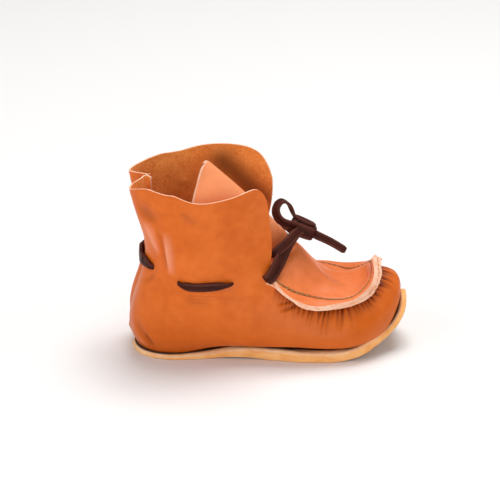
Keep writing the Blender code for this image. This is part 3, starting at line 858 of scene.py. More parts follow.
# %% The strands' routes
FRONT_ROUTE = [(63.9, -23.6, 43.2), (66.0, -22.6, 45.8), (69.4, -18.2, 50.2), (73.8, -10.2, 54.7)]
FRONT_INSIDE = [(60.4, -18.4, 41.0), (62.3, -21.4, 41.9)]
LOOP_ROUTE = [(75.6, -6.9, 63.4), (71.4, -7.8, 65.3), (68.7, -7.2, 68.4), (68.7, -5.4, 72.3), (71.1, -4, 74.4),
              (74.0, -2.8, 72.9), (75.9, -2.2, 69.4), (77.5, -2, 65.6)]
END_ROUTE = [(86.8, -4.2, 57.2), (91, -5.2, 55.2), (96, -6, 52.6), (101.4, -6.4, 49.0)]
TUCKED_ROUTE = [(77.2, -9.4, 59.9), (74.6, -13.2, 58.9), (71.1, -15.8, 56.6), (67.9, -16.2, 54.0),
                (65.0, -15.0, 51.8), (62.9, -13.2, 50.4)]
KNOT_PLACE = np.array([81.6, -3.0, 60.2])
END_FACING = (0.35, -0.85, 0.4)
TUCKED_FACING = (0.5, -0.8, 0.4)
SLIT_BEHIND_THROAT = 1.6
FRONT_SLIT = throat - SLIT_BEHIND_THROAT
HEEL_SLIT = 15.4
SIDE_SLITS = (31.3, 56.3)
SLITS = (HEEL_SLIT, *SIDE_SLITS, FRONT_SLIT)
INSIDE_CLEAR, OUTSIDE_CLEAR = 0.2, 0.1
LACE_INSIDE = UPPER_WALL + LACE_THICK / 2 + INSIDE_CLEAR
LACE_OUTSIDE = LACE_THICK / 2 + OUTSIDE_CLEAR
STRAND_POINTS, LONG_STRAND_POINTS = 121, 141
FLAT_SHARE = 0.72
TONGUE_ROUND = 30
END_ROUNDED, END_REACH = 0.3, 1.6


def front_stops(side):
    """Out of the front slit and up to the knot, on the near side (-1) or the far side (+1)."""
    inside = [((x, -side * y, z), (0.25, side, 0.1)) for x, y, z in FRONT_INSIDE]
    return inside + [((x, -side * y, z), (0.6, -side * y / TONGUE_ROUND, 0.6)) for x, y, z in FRONT_ROUTE]


def strand(name, stops, count, exit_stop, far_end, widths, *replaced):
    """One strand of the lace, a cord of its own length; widths are shares of the lace's along it."""
    path, facing = route_with_facing(stops, count)
    shape = new_shape("corner")
    steps = np.linspace(0, 1, count)
    width = np.interp(steps, np.linspace(0, 1, len(widths)), widths)
    to_end = (1 - steps) * arc_lengths(path)[-1]
    width = width * (1 - END_ROUNDED * np.clip(1 - to_end / END_REACH, 0, 1) ** 2)
    lay_thong(shape, path, facing, width=width, thick=FLAT_SHARE)
    turn_outwards(shape)
    made = make_piece(name, shape, [LACE], "lace_leather", *replaced)
    return made


# Each strand comes out of its slit at the first stop after those inside the leather
FRONT_EXIT = len(FRONT_INSIDE)
NEAR_KNOT = [((78.6, -5.6, 58.4), (0.5, -0.5, 0.7)), ((82.4, -3.6, 59.6), END_FACING)]
NEAR_WIDTHS = (1.1, 1.35, 1.5, 1.5, 1.3, 1.0, 1.0, 0.95, 0.9, 0.88)
near_stops = front_stops(-1) + NEAR_KNOT + [(point, END_FACING) for point in END_ROUTE]
strand("lace_near_strand", near_stops, STRAND_POINTS, FRONT_EXIT, "bare", NEAR_WIDTHS, "lace_front", "lace_end")

FAR_KNOT = [((76.6, 0, 57.4), (0.6, 0, 0.6)), ((80.6, -2.2, 59.6), (0.2, -0.3, 0.9)),
            ((80.2, -6.6, 60.6), (0.2, -0.7, 0.6))]
FAR_WIDTHS = (0.9, 1.1, 1.1, 1.0, 1.0, 0.9, 1.0, 1.15, 1.1, 0.7)
far_stops = front_stops(1) + FAR_KNOT + [(point, TUCKED_FACING) for point in TUCKED_ROUTE]
strand("lace_far_strand", far_stops, LONG_STRAND_POINTS, FRONT_EXIT, "bare", FAR_WIDTHS, "lace_tucked_end")

loop_route = [KNOT_PLACE + (-1.0, -2.4, 0.6), *LOOP_ROUTE, KNOT_PLACE + (-0.6, 1.0, 1.6)]
loop_centre = np.mean(LOOP_ROUTE, axis=0)
LOOP_LEAN = (1.2, 1.3, 1.3, 1.1, 0.6, 0.35, 0.3, 0.3, 0.3, 0.3)
loop_stops = [
    (point, unit(np.asarray(point) - loop_centre) + np.array([0, -lean, 0]))
    for point, lean in zip(loop_route, LOOP_LEAN)
]
LOOP_WIDTHS = (1.1, 1.1, 1.1, 1.05, 1.0, 1.0, 0.95, 0.9, 0.9)
strand("lace_bow_loop", loop_stops, STRAND_POINTS, 0, "object", LOOP_WIDTHS, "lace_loop")

# %% [markdown]
# ## The knot and the lace round the ankle
# The knot is two turns of the same thong pulled tight: one band slants down in front and a second one arches
# over the top behind it. Round the ankle the lace goes in and out of slits in the leather, over the back seam,
# along each side and out again at the front. One path carries it all: its distance from the leather changes
# from outside to inside at each slit, and the thong is pinched narrower there.

# %% The knot
KNOT_SLANT = math.radians(24)
KNOT_TWIST = math.radians(4)
BAND_STEPS = 73
ROUNDING = 2.6
CORE_SIZE, CORE_EASE = (8.2, 4.4, 4.2), 1.4
Band = namedtuple("Band", "name slant shift half_long half_deep wide")
BANDS = [
    Band("front", KNOT_SLANT, (-0.6, -0.6, -0.5), 5.6, 3.0, 1.55),
    Band("top", KNOT_SLANT + KNOT_TWIST, (0.0, 0.6, 1.5), 4.9, 1.5, 1.2),
]


def knot_axes(slant):
    """Directions along a band of the knot, out of it and across it."""
    along = np.array([math.cos(slant), 0, -math.sin(slant)])
    return along, np.array([0.0, -1.0, 0.0]), np.array([math.sin(slant), 0, math.cos(slant)])


knot_shape = new_shape("corner")
for band in BANDS:
    along, outward, _ = knot_axes(band.slant)
    turns = np.linspace(0, 2 * math.pi, BAND_STEPS)
    swing, dip = np.cos(turns), np.sin(turns)
    long = np.sign(swing) * np.abs(swing) ** (2 / ROUNDING) * band.half_long
    deep = np.sign(dip) * np.abs(dip) ** (2 / ROUNDING) * band.half_deep
    centre = KNOT_PLACE + np.array(band.shift)
    offset = long[:, None] * along + deep[:, None] * outward
    lay_thong(knot_shape, centre + offset, unit(offset), width=band.wide)
core = bmesh.ops.create_cube(knot_shape, size=1)["verts"]
along, outward, upward = knot_axes(KNOT_SLANT)
for vert in core:
    x, y, z = np.array(vert.co) * CORE_SIZE
    vert.co = KNOT_PLACE + along * x + outward * y + upward * z
core_edges = list({edge for vert in core for edge in vert.link_edges})
bmesh.ops.bevel(
    knot_shape, geom=core_edges, offset=CORE_EASE, segments=3, profile=0.5, affect="EDGES", material=-1
)
turn_outwards(knot_shape)
make_piece("lace_knot_bands", knot_shape, [LACE], "lace_leather", "lace_knot")

# %% Round the ankle
ANKLE_STEPS = 420
HEEL_SAG, SIDE_SAG = 0.19, 0.06
NEAR_SAG_POWER, FAR_SAG_POWER = 3, 1
SIDE_TILT = 0.08
DIVE = 2.4
PINCH, HEEL_PINCH, PINCH_REACH = 0.66, 0.85, 3.4
END_DROP = 0.2
HEEL_WIDER, HEEL_ARCH = 0.25, 0.8
LACE_SNUG = 0.45


def lace_outside(turns):
    """1 where the lace shows outside the leather, 0 where it runs inside, with a dive at each slit."""
    turns = np.abs(turns)
    shows = np.zeros(len(turns))
    for first, last in ((-HEEL_SLIT, HEEL_SLIT), SIDE_SLITS):
        shows += smooth_step((turns - first) / DIVE + 0.5) * smooth_step((last - turns) / DIVE + 0.5)
    return shows


def lace_levels(turns):
    """The level that the lace keeps: it sags over the heel and along each side, and rises to the front."""
    power = np.where(turns >= 0, NEAR_SAG_POWER, FAR_SAG_POWER)
    turns = np.abs(turns)
    heel = HEEL_SAG * np.cos(np.clip(turns / HEEL_SLIT, 0, 1) * math.pi / 2) ** power
    first, last = SIDE_SLITS
    share = (turns - first) / (last - first)
    side = SIDE_SAG * np.sin(np.clip(share, 0, 1) * math.pi)
    tilt = smooth_step(share) * smooth_step((FRONT_SLIT - turns) / (FRONT_SLIT - last))
    return RIM_LEVEL - heel - side + SIDE_TILT * tilt


ankle = np.linspace(-FRONT_SLIT, FRONT_SLIT, ANKLE_STEPS)
points, normals = on_upper(ankle, lace_levels(ankle))
stands = lace_outside(ankle) * (LACE_OUTSIDE - LACE_SNUG + LACE_INSIDE) - LACE_INSIDE
ankle_path = points + normals * stands[:, None]
bridge = np.abs(ankle_path[:, 1]) < 2 * SEAM_WIDTH
arch = HEEL_ARCH * (1 - (ankle_path[bridge, 1] / (2 * SEAM_WIDTH)) ** 2)
ankle_path[bridge, 0] = np.minimum(ankle_path[bridge, 0], ankle_path[np.argmax(bridge), 0] - arch)
normals[bridge] = (-1, 0, 0)
pinches = {slit: bell(np.abs(ankle) - slit, PINCH_REACH) for slit in SLITS}
ankle_path[:, 2] -= END_DROP * sum(pinches[slit] for slit in SIDE_SLITS)
at_heel = np.abs(ankle) < HEEL_SLIT + PINCH_REACH
pinch = PINCH * sum(pinches.values()) * np.where(at_heel, HEEL_PINCH, 1)
ankle_shape = new_shape("corner")
lay_thong(ankle_shape, ankle_path, normals, width=1 + HEEL_WIDER * at_heel - pinch)
turn_outwards(ankle_shape)
make_piece(
    "lace_round_ankle", ankle_shape, [LACE], "lace_leather", "lace_heel", "lace_near_side", "lace_far_side"
)

# %% [markdown]
# ## The upper
# The vamp, the quarters and the shaft are one hide, closed by a seam up the heel. Its top margin is gathered to
# fit the shorter apron, so it falls in sharp little puckers under the rim, deepest round the toe. Sculpting
# them by hand would take hours; here each pucker is a trough placed along the rim, and the larger folds come
# from a table in the shoe's own measures: millimetres round the sole from the heel seam, and height.

# %% Puckers under the rim
PUCKER_SEED = 11
PUCKER_ENDS = 2.0
PUCKER_PITCH, PITCH_RANGE = 2.05, (0.7, 1.3)
Pucker = namedtuple("Pucker", "centre depth width length lean")
# The ranges of the depth, width, length and lean, drawn in this order
PUCKER_RANGES = ((0.5, 1.1), (0.32, 0.58), (6.0, 13.0), (-0.10, 0.10))
# The length, width and strength: a share along the sides, and what the toe adds to it
PUCKER_SHARES = ((1.3, -0.2), (1.15, 0.35), (1.2, 0.75))
GATHER_FROM, GATHER_RUN = 3.0, 18.0
TOE_GATHER = 25.0
PUCKER_FADE = 1.3
SWELL, SWELL_REACH = 0.4, 7.0
chance = np.random.default_rng(PUCKER_SEED)
PUCKERS = []
centre = PUCKER_ENDS
while centre < RIM_LENGTH - PUCKER_ENDS:
    PUCKERS.append(Pucker(centre, *(chance.uniform(low, high) for low, high in PUCKER_RANGES)))
    centre += PUCKER_PITCH * chance.uniform(*PITCH_RANGE)


def puckers(along_rim, below):
    """How deep the gathers are, and the swell between them, by the place along the rim and below it."""
    from_end = np.minimum(along_rim, RIM_LENGTH - along_rim)
    toe = bell(along_rim - RIM_LENGTH / 2, TOE_GATHER)[:, None]
    length, width, strength = (side + toe_adds * toe for side, toe_adds in PUCKER_SHARES)
    strength = strength * (rising(from_end, GATHER_FROM, GATHER_RUN) * (along_rim >= 0))[:, None]
    depth = np.zeros(below.shape)
    for pucker in PUCKERS:
        away = along_rim[:, None] - pucker.centre - pucker.lean * below
        fade = np.clip(1 - below / (pucker.length * length), 0, 1) ** PUCKER_FADE
        depth += pucker.depth * bell(away, pucker.width * width) * fade
    swell = SWELL * bell(below, SWELL_REACH) * np.clip(1 - depth, 0, 1)
    return depth * strength, swell * strength


print(len(PUCKERS), "puckers along the rim")

# %% Folds listed one by one
Fold = namedtuple("Fold", "name first last width depth")
SEAM_ZONE = 5.0
FOLDS = [
    Fold("ridge behind the ankle", (18.0, 73), (22, 55), 2.2, -1.9),
    Fold("ridge at the ankle", (27.6, 69), (26.8, 46), 2.2, -2.1),
    Fold("hollow between them", (23.2, 70), (24.0, 47), 1.8, 1.2),
    Fold("slant crease on the quarter", (36.3, 79), (44.4, 74), 1.6, 0.7),
    Fold("hollow under the collar", (13.5, 78), (24.5, 73), 3.2, 1.1),
    Fold("pull from the heel slit", (17.5, 45.2), (12.5, 38.4), 1.2, 0.7),
    Fold("under the side lace, behind", (33, 35), (49, 32.5), 2.4, 0.35),
    Fold("under the side lace, in front", (50, 36), (64, 33), 2.2, 0.3),
    Fold("hollow up the heel", (0, 47), (0, 3), 11, 2.0),
    Fold("far lip of the back seam", (-3.2, 66), (-3.2, 4), 2.4, 0.8),
    Fold("hollow round the heel dart", (13.0, 22), (18.4, 5), 2.2, 0.8),
    Fold("heel dart", (17.0, 14), (19.6, 4), 0.9, 1.3),
    Fold("lump behind the heel dart", (12.6, 11), (16.0, 5.5), 1.3, -0.9),
    Fold("first wrinkle under the side lace", (33, 36.6), (54, 36.3), 0.4, 0.45),
    Fold("second wrinkle under the side lace", (34, 34.8), (53, 34.6), 0.4, 0.45),
    Fold("third wrinkle under the side lace", (37, 32.9), (51, 32.8), 0.45, 0.36),
    Fold("pleat below the throat", (86, 30.2), (77, 27.4), 0.8, 0.9),
    Fold("second pleat below the throat", (82, 31.6), (75.5, 30.4), 0.6, 0.6),
    Fold("far ridge at the ankle", (-26, 66), (-24.6, 49), 2.1, -0.5),
    Fold("far hollow at the ankle", (-22.4, 70), (-21.5, 52), 1.9, 0.45),
    Fold("far slant crease", (-35, 76), (-45, 71), 1.5, 0.45),
    Fold("far pull from the heel slit", (-17.8, 45), (-13, 39), 1.3, 0.6),
    Fold("far under the side lace", (-32, 35), (-52, 33), 2.5, 0.4),
]


def fold_relief(turns, heights):
    """How deep the folds are, and their painted shade and highlight: all but those along the back seam."""
    depth, fold_shading = np.zeros((2, *heights.shape))
    for fold in FOLDS:
        first, last = np.array(fold.first, float), np.array(fold.last, float)
        run = last - first
        span = run @ run
        share = ((turns[:, None] - first[0]) * run[0] + (heights - first[1]) * run[1]) / span
        away = ((turns[:, None] - first[0]) * run[1] - (heights - first[1]) * run[0]) / math.sqrt(span)
        held = np.clip(1 - (2 * share - 1) ** 2, 0, 1) * (share > 0) * (share < 1)
        trough = fold.depth * held * bell(away, fold.width)
        depth += trough
        fold_shading += trough * (abs(fold.first[0]) > SEAM_ZONE)
    return depth, fold_shading


# %% Collar, hang and lower edge
# The collar's tables go by millimetres round from the heel seam, the others by millimetres along the shoe
COLLAR_NEAR = [(0, 2.4), (4, 1.2), (9, -0.6), (16.4, 1.0), (21.2, 1.5), (26.4, 0), (30.2, 0.2), (34, 1.7),
               (39, 1.3), (42, 1.0), (47, 0.6), (51.7, 0), (54.7, -0.5), (57.4, -0.4), (60.8, 0.3),
               (64.7, 1.6), (67.4, 1.9), (69, 1.2), (70, 0)]
COLLAR_FAR = [(0, 2.4), (4, 1.4), (11, 0.4), (18.5, 0.7), (24.4, 1.1), (30, 0.7), (34.4, -0.6), (39.8, -1.5),
              (44.8, -0.6), (48, 0), (52, 0.2), (54, 0), (58, -0.6), (61.8, -1.9), (66.3, -3.3), (68.7, -4.2),
              (70, -5)]
COLLAR_EASE = 1.2
TRIM_FROM = 4
FRONT_HANG, HANG_LEVEL, HANG_SPAN, HANG_REACH = 1.2, 3.45, 0.85, 12.0
TUCK_LEVEL = [(30, 0.5), (48, 0.8), (62, 0.9), (78, 0.9), (90, 0.8), (112, 0.8), (124, 0.5)]
TUCK_IN = [(0, 0.9), (36, 1.1), (48, 2.0), (64, 3.0), (76, 2.9), (88, 2.3), (105, 2.8), (114, 2.8),
           (124, 2.3), (135, 2.6)]
TUCK_UP, TUCK_POWER = 0.55, 1.6
HIDE_RISE = [(0, -1.4), (12, -1.9), (24, -1.9), (36, -0.3), (48, 1.4), (56, 2.6), (64, 3.8), (76, 3.5),
             (86, 2.4), (96, 2.7), (104, 3.4), (113, 3.6), (122, 2.4), (150, 0.8)]


def signed_turns(places):
    """Places round the shoe from the heel seam: near side positive, far side negative."""
    return np.mod(places + ROUND / 2, ROUND) - ROUND / 2


def collar_trim(turns):
    """How much higher or lower the collar is cut, eased so that the cut runs smoothly."""
    trim = 0
    for slip in (-COLLAR_EASE, 0, COLLAR_EASE):
        near, far = (looked_up(table, np.abs(turns + slip)) for table in (COLLAR_NEAR, COLLAR_FAR))
        trim = trim + np.where(turns >= 0, near, far) / 3
    return trim


def set_edges(grid, normals, turns, levels):
    """Lets the shaft's front hang, turns the lower edge in over the sole, and cuts the collar."""
    around = turns[:, None]
    hang = FRONT_HANG * np.clip(1 - ((levels - HANG_LEVEL) / HANG_SPAN) ** 2, 0, 1)
    grid[..., 0] += hang * rising(around, throat - HANG_REACH, HANG_REACH) * (around < throat + HANG_REACH)
    tuck = np.clip(1 - levels / looked_up(TUCK_LEVEL, grid[..., 0]), 0, 1) ** TUCK_POWER
    level_out = unit(normals * np.array([1, 1, 0]))
    grid = grid - (tuck * looked_up(TUCK_IN, grid[..., 0]))[..., None] * level_out
    grid[..., 2] += tuck * (TUCK_UP + looked_up(HIDE_RISE, grid[..., 0]))
    grid[..., 2] += collar_trim(turns)[:, None] * np.clip(levels - TRIM_FROM, 0, 1) ** 2
    return grid


# %% Marks of the seam and the lace
# A mark stands or sinks by its height, at a place round the shoe, all in millimetres
Mark = namedtuple("Mark", "high place width")
LEVEL_MM = 18.0
SEAM_GROOVE, SEAM_LIP = Mark(0.8, 0.0, 0.6), Mark(0.35, 1.6, 0.9)
GROOVE_FROM, GROOVE_RUN = 0.3, 0.4
LACE_PRESS, SLIT_PRESS = Mark(0.4, 0.0, 2.6), Mark(0.5, 0.0, 2.4)
HEEL_BUMP = Mark(0.7, (2.0, 11.5), (3.0, 2.0))


def seam_marks(around, levels):
    """The groove of the back seam, and the lip that stands up beside it."""
    groove = SEAM_GROOVE.high * bell(around, SEAM_GROOVE.width) * rising(levels, GROOVE_FROM, GROOVE_RUN)
    return groove, SEAM_LIP.high * bell(around - SEAM_LIP.place, SEAM_LIP.width)


def lace_marks(turns, levels):
    """How far the lace presses the leather in, along its run and round its slits."""
    off_lace = (levels - lace_levels(turns)[:, None]) * LEVEL_MM
    press = LACE_PRESS.high * lace_outside(turns)[:, None] * bell(off_lace, LACE_PRESS.width)
    for slit in SLITS:
        off_slit = np.hypot(np.abs(turns)[:, None] - slit, off_lace)
        press = press + SLIT_PRESS.high * bell(off_slit, SLIT_PRESS.width)
    return press


def heel_bump(around, heights):
    """The small lump low on the heel."""
    (around_at, high_at), (wide, tall) = HEEL_BUMP.place, HEEL_BUMP.width
    return HEEL_BUMP.high * bell(around - around_at, wide) * bell(heights - high_at, tall)


def sway(around, heights):
    """Slow uneven waves of soft leather, each with a length of its own in millimetres."""
    crossing = np.sin(around / 9.5 + 1) * np.sin(heights / 11 + 0.4)
    return crossing + 0.6 * np.sin(around / 5.3 + heights / 7.1)


# %% All the relief
# Depths and reaches are in millimetres, painted shades and highlights are shares of crease, and the rest are
# levels up the wall
WALL_FROM = 0.5
SWAY_DEPTH = 0.2
ROOT_SHARE, ROOT_REACH = 0.4, 2.2
RIM_SHADE, SHADE_REACH, SHADE_FROM = 0.55, 5.0, 4.0
GATHER_SHADE, GROOVE_SHADE = 0.8, 0.6
FOLD_SHADE, FOLD_MOST = 0.38, 1.4
FOOT_SHADE, FOOT_LEVEL = 0.9, 0.12
RIDGE_HIGHLIGHT_DEPTH, LIP_HIGHLIGHT = 1.7, 1.5
HIGHLIGHT_FROM, HIGHLIGHT_RUN = 0.3, 0.8


def upper_relief(places, levels):
    """The dressed upper, and its crease: painted shade up to 1 in folds, painted highlight to -1 on ridges."""
    form, normals = upper_form(places, levels), upper_normals(places, levels)
    turns = signed_turns(places)
    around, heights = turns[:, None], form[..., 2]
    below = np.linalg.norm(form - upper_form(places, [RIM_LEVEL]), axis=2) * (levels < RIM_LEVEL)
    along_rim = np.interp(np.mod(places, ROUND), rim_places, rim_arc, left=-1, right=-1)
    gather, swell = puckers(along_rim, below)
    folds, fold_shading = fold_relief(turns, heights)
    groove, lip = seam_marks(around, levels)
    root = ROOT_SHARE + (1 - ROOT_SHARE) * smooth_step(below / ROOT_REACH)
    lift = swell - gather * root - folds - groove - lace_marks(turns, levels) + lip
    lift = lift + heel_bump(around, heights) + SWAY_DEPTH * sway(around, heights)
    on_wall = smooth_step(levels / WALL_FROM)
    grid = set_edges(form + normals * (lift * on_wall)[..., None], normals, turns, levels)
    # Painted shade in the crease number: under the rim, in gathers, in folds, in the back seam's groove and
    # along the lower edge over the sole
    shade = RIM_SHADE * bell(below, SHADE_REACH) * (along_rim > SHADE_FROM)[:, None]
    crease = GATHER_SHADE * np.clip(gather, 0, 1) + shade + FOLD_SHADE * np.clip(fold_shading, 0, FOLD_MOST)
    crease = (crease + GROOVE_SHADE * groove / SEAM_GROOVE.high) * on_wall
    crease = crease + FOOT_SHADE * smooth_step(1 - levels / FOOT_LEVEL)
    # Painted highlight on the ridges of folds and on the back seam's near lip, along the wall
    up_heel = rising(levels, HIGHLIGHT_FROM, HIGHLIGHT_RUN) * smooth_step((RIM_LEVEL - levels) / HIGHLIGHT_RUN)
    ridge_highlight = np.clip(-fold_shading / RIDGE_HIGHLIGHT_DEPTH, 0, 1) + LIP_HIGHLIGHT * lip * up_heel
    return grid, np.clip(crease - ridge_highlight, -1, 1)


# %% [markdown]
# The hide is laid as three sheets that share their edges: the foot from the sole up to the rim, the shaft from
# there up to the collar, and the gathered margin that turns out under the apron. Columns crowd together at the
# heel seam, the slits and the toe, where the leather bends most. The leather's thickness goes along as a
# share of the thickest place, so that cut edges can be skived thin.

# %% Columns and levels of the hide
BACK_FINE, TOE_FINE = 72, 216
BACK_CROWDING = 1.6
LOW_FINE, VAMP_FINE, SHAFT_FINE = 18, 33, 46
VAMP_LEVEL = 2
SLIT_HALF_WIDE, SLIT_HALF_LONG = 0.4, 0.9
back_half = throat * np.linspace(0, 1, BACK_FINE) ** BACK_CROWDING
slit_cuts = np.array([slit + cut for slit in SLITS for cut in (-SLIT_HALF_WIDE, SLIT_HALF_WIDE)])
clear_of_cuts = np.abs(back_half[:, None] - slit_cuts).min(axis=1) > SLIT_HALF_WIDE
back_half = np.sort(np.concatenate([back_half[clear_of_cuts], slit_cuts]))
toe_middle = np.interp(ROUND / 2, rim_places, rim_arc)
half_toe = np.interp(np.linspace(0, toe_middle, TOE_FINE), rim_arc, rim_places)
half_toe[-1] = ROUND / 2
toe_round = np.concatenate([half_toe, ROUND - half_toe[-2::-1]])
all_round = np.concatenate([back_half, toe_round[1:-1], ROUND - back_half[::-1]])
shaft_round = np.concatenate([-back_half[:0:-1], back_half])
low_levels, vamp_levels = np.linspace(0, VAMP_LEVEL, LOW_FINE), np.linspace(VAMP_LEVEL, RIM_LEVEL, VAMP_FINE)
foot_levels = np.concatenate([low_levels, vamp_levels[1:]])
shaft_levels = np.linspace(RIM_LEVEL, COLLAR_LEVEL, SHAFT_FINE)
print(len(all_round), "columns round the foot and", len(shaft_round), "round the shaft")

# %% Foot and shaft
HIDE_MOST = UPPER_WALL + APRON_CLEAR
WALL_SHARE = UPPER_WALL / HIDE_MOST
SKIVED = 0.75
SKIVED_SHARE = SKIVED / HIDE_MOST
SKIVED_FRONT, SKIVED_TOP, UNSKIVED_LEVELS = 6, 0.35, 0.4
# A painted shadow of the tongue: a dark band on the far wall inside the shaft
TONGUE_SHADOW_FROM, TONGUE_SHADOW_TO = np.array([45.5, 83.0]), np.array([63.0, 67.0])
TONGUE_SHADOW_WIDTH, TONGUE_SHADOW_MOST = 7.0, 0.95
hide = new_shape("crease", "thick", "rubbed")
foot, foot_crease = upper_relief(all_round, foot_levels)
lay_sheet(hide, foot, crease=foot_crease, thick=np.full(foot_crease.shape, WALL_SHARE))
shaft, shaft_crease = upper_relief(shaft_round, shaft_levels)
to_front = (throat - np.abs(shaft_round))[:, None] / SKIVED_FRONT
to_top = (COLLAR_LEVEL - shaft_levels) / SKIVED_TOP
to_front = np.where(shaft_levels < RIM_LEVEL + UNSKIVED_LEVELS, 1, to_front)
from_cut = smooth_step(np.minimum(to_front, to_top))
shaft_thick = SKIVED_SHARE + (WALL_SHARE - SKIVED_SHARE) * from_cut
rubbed_run = TONGUE_SHADOW_TO - TONGUE_SHADOW_FROM
from_shadow = shaft[..., [0, 2]] - TONGUE_SHADOW_FROM
along_shadow = np.clip(from_shadow @ rubbed_run / (rubbed_run @ rubbed_run), 0, 1)
off_shadow = np.linalg.norm(from_shadow - along_shadow[..., None] * rubbed_run, axis=-1)
rubbed = TONGUE_SHADOW_MOST * bell(off_shadow, TONGUE_SHADOW_WIDTH) * (shaft_round < 0)[:, None]
lay_sheet(hide, shaft, crease=shaft_crease, thick=shaft_thick, rubbed=rubbed)
print(len(hide.faces), "faces of foot and shaft")

# %% The gathered margin
# Places and runs are millimetres along the rim, from its nearer end or past its tip
FLANGE_STEPS = np.linspace(0, 1, 9)
FRILL, FRILL_WIDTH = 0.36, 0.75
FINE_FRILL, FINE_PITCH = 0.12, 1.15
FRILL_FROM, FRILL_RUN = 44.0, 10.0
WANDER, FRILLED_WANDER, WANDER_LONG, WANDER_SHORT = 0.06, 0.08, 1.9, 0.83
DRAWN_IN, DRAWN_FRILLED, DRAWN_FAR, DRAWN_ENDS = 0.1, 0.35, 1.1, 2.4
FAR_FROM, FAR_RUN = 1.5, 6.0
ENDS_WITHIN, ENDS_RUN = 20.0, 9.0
TIP_MORE, TIP_PLACE, TIP_WIDTH = 0.7, 1.0, 4.0
LEAST_OUT, LEAST_MORE, LEAST_RUN = 0.1, 0.4, 4.0
THINNED, THINNED_FROM, THINNED_RUN, THINNED_STEP = 0.5, 8.0, 8.0, 0.6
APART, APART_FROM, APART_RUN = 0.4, 48.0, 8.0
END_THIN, END_THIN_RUN = 0.6, 5.0
FULL_STEP = 0.4
MARGIN_SHADE = 0.6
seam, flange, off_face, width = rim_frame(toe_round)
gathered, _ = upper_relief(toe_round, np.array([float(RIM_LEVEL)]))
along_rim = np.interp(toe_round, rim_places, rim_arc)
from_end = np.minimum(along_rim, RIM_LENGTH - along_rim)
past_tip = along_rim - RIM_LENGTH / 2
frilled = rising(from_end, FRILL_FROM, FRILL_RUN)
frill = sum(bell(along_rim - pucker.centre, FRILL_WIDTH) for pucker in PUCKERS)
frill = (frill + FINE_FRILL * (1 + np.sin(along_rim * 2 * math.pi / FINE_PITCH))) * frilled
wander = np.sin(along_rim / WANDER_LONG) + np.sin(along_rim / WANDER_SHORT + 1)
wander = (WANDER + FRILLED_WANDER * frilled) * wander
drawn_in = DRAWN_IN + (DRAWN_FRILLED + DRAWN_FAR * rising(past_tip, FAR_FROM, FAR_RUN)) * frilled
drawn_in = drawn_in + DRAWN_ENDS * smooth_step((ENDS_WITHIN - from_end) / ENDS_RUN)
drawn_in = drawn_in - TIP_MORE * bell(past_tip - TIP_PLACE, TIP_WIDTH)
least_out = LEAST_OUT + LEAST_MORE * smooth_step(from_end / LEAST_RUN)
margin_out = np.maximum(width + wander - drawn_in, least_out)
thinned = THINNED * rising(from_end, THINNED_FROM, THINNED_RUN) * (1 - frilled)
margin = []
for step in FLANGE_STEPS:
    root = (gathered[:, 0] - seam) * (1 - step)
    out = flange * (margin_out * step)[:, None]
    down = off_face * (frill * FRILL * step - thinned * smooth_step(step / THINNED_STEP))[:, None]
    margin.append(seam + root + out - down)
# Painted shade in the folds of the frilled margin, fading out towards its edge
margin_crease = np.outer(np.clip(frill, 0, 1), MARGIN_SHADE * (1 - FLANGE_STEPS))
filled = 1 - (1 - WALL_SHARE) * APART * rising(from_end, APART_FROM, APART_RUN)
filled = filled - thinned / HIDE_MOST - END_THIN * (1 - smooth_step(from_end / END_THIN_RUN))
margin_thick = WALL_SHARE + np.outer(filled - WALL_SHARE, smooth_step(FLANGE_STEPS / FULL_STEP))
lay_sheet(hide, np.stack(margin, axis=1), crease=margin_crease, thick=margin_thick)
bmesh.ops.remove_doubles(hide, verts=hide.verts, dist=MERGE)
print(len(hide.faces), "faces with the margin")

# %% The back seam's two edges, turned in
TURNED_FROM, TURNED_FLAT = 4.15, 3.9
TURNED_FINE, TURNED_STEPS = 15, 6
TURNED_DEEP, TURNED_IN = 0.4, 1.9
TURNED_GAP, TURNED_APART, TURNED_POWER = 0.35, 1.3, 1.5
TURNED_DROP = 0.5
seam_levels = np.linspace(TURNED_FROM, COLLAR_LEVEL, TURNED_FINE)
seam_top, _ = upper_relief(np.zeros(1), seam_levels)
for side in (-1, 1):
    turned = []
    for step in np.linspace(0, 1, TURNED_STEPS):
        line = seam_top[0] + np.array([UPPER_WALL * TURNED_DEEP + TURNED_IN * step, 0, 0])
        line[:, 1] = side * (TURNED_GAP + TURNED_APART * step**TURNED_POWER * (seam_levels - TURNED_FLAT))
        line[:, 2] -= TURNED_DROP * step
        turned.append(line)
    turned = np.stack(turned[::side], axis=0)
    plain = np.zeros(turned.shape[:2])
    lay_sheet(hide, turned, crease=plain, thick=plain + SKIVED_SHARE)
print("two edges of", TURNED_STEPS, "by", TURNED_FINE, "points")

# %% Slits
slit_places = np.array([side * slit for slit in SLITS[:-1] for side in (1, -1)])
slit_spots, _ = on_upper(slit_places, lace_levels(slit_places))
slit_faces = []
for face in hide.faces:
    middle = np.array(face.calc_center_median())
    off = np.abs(middle - slit_spots)
    cut = (off[:, 2] < SLIT_HALF_LONG) & (np.hypot(off[:, 0], off[:, 1]) < SLIT_HALF_WIDE)
    if np.any(cut & (slit_places * middle[1] < 0)):
        slit_faces.append(face)
bmesh.ops.delete(hide, geom=slit_faces, context="FACES")
print(len(slit_faces), "faces cut out for", len(slit_places), "slits")
upper = make_piece("upper_hide", hide, [GRAIN, FLESH, CUT_EDGE], "upper_leather", "upper")
thicken(upper, HIDE_MOST, 1, 2)

# %% [markdown]
# ## The apron and its tongue
# The apron is a second hide, a little thicker and pinker. Its rim lies over the gathered margin and shows a
# thick pale cut edge; further in, the seam pulls a groove. Behind the throat it rises as the tongue, folded
# along its middle like a tent and cut to a point. The form is worked from the rim inwards to a middle line.

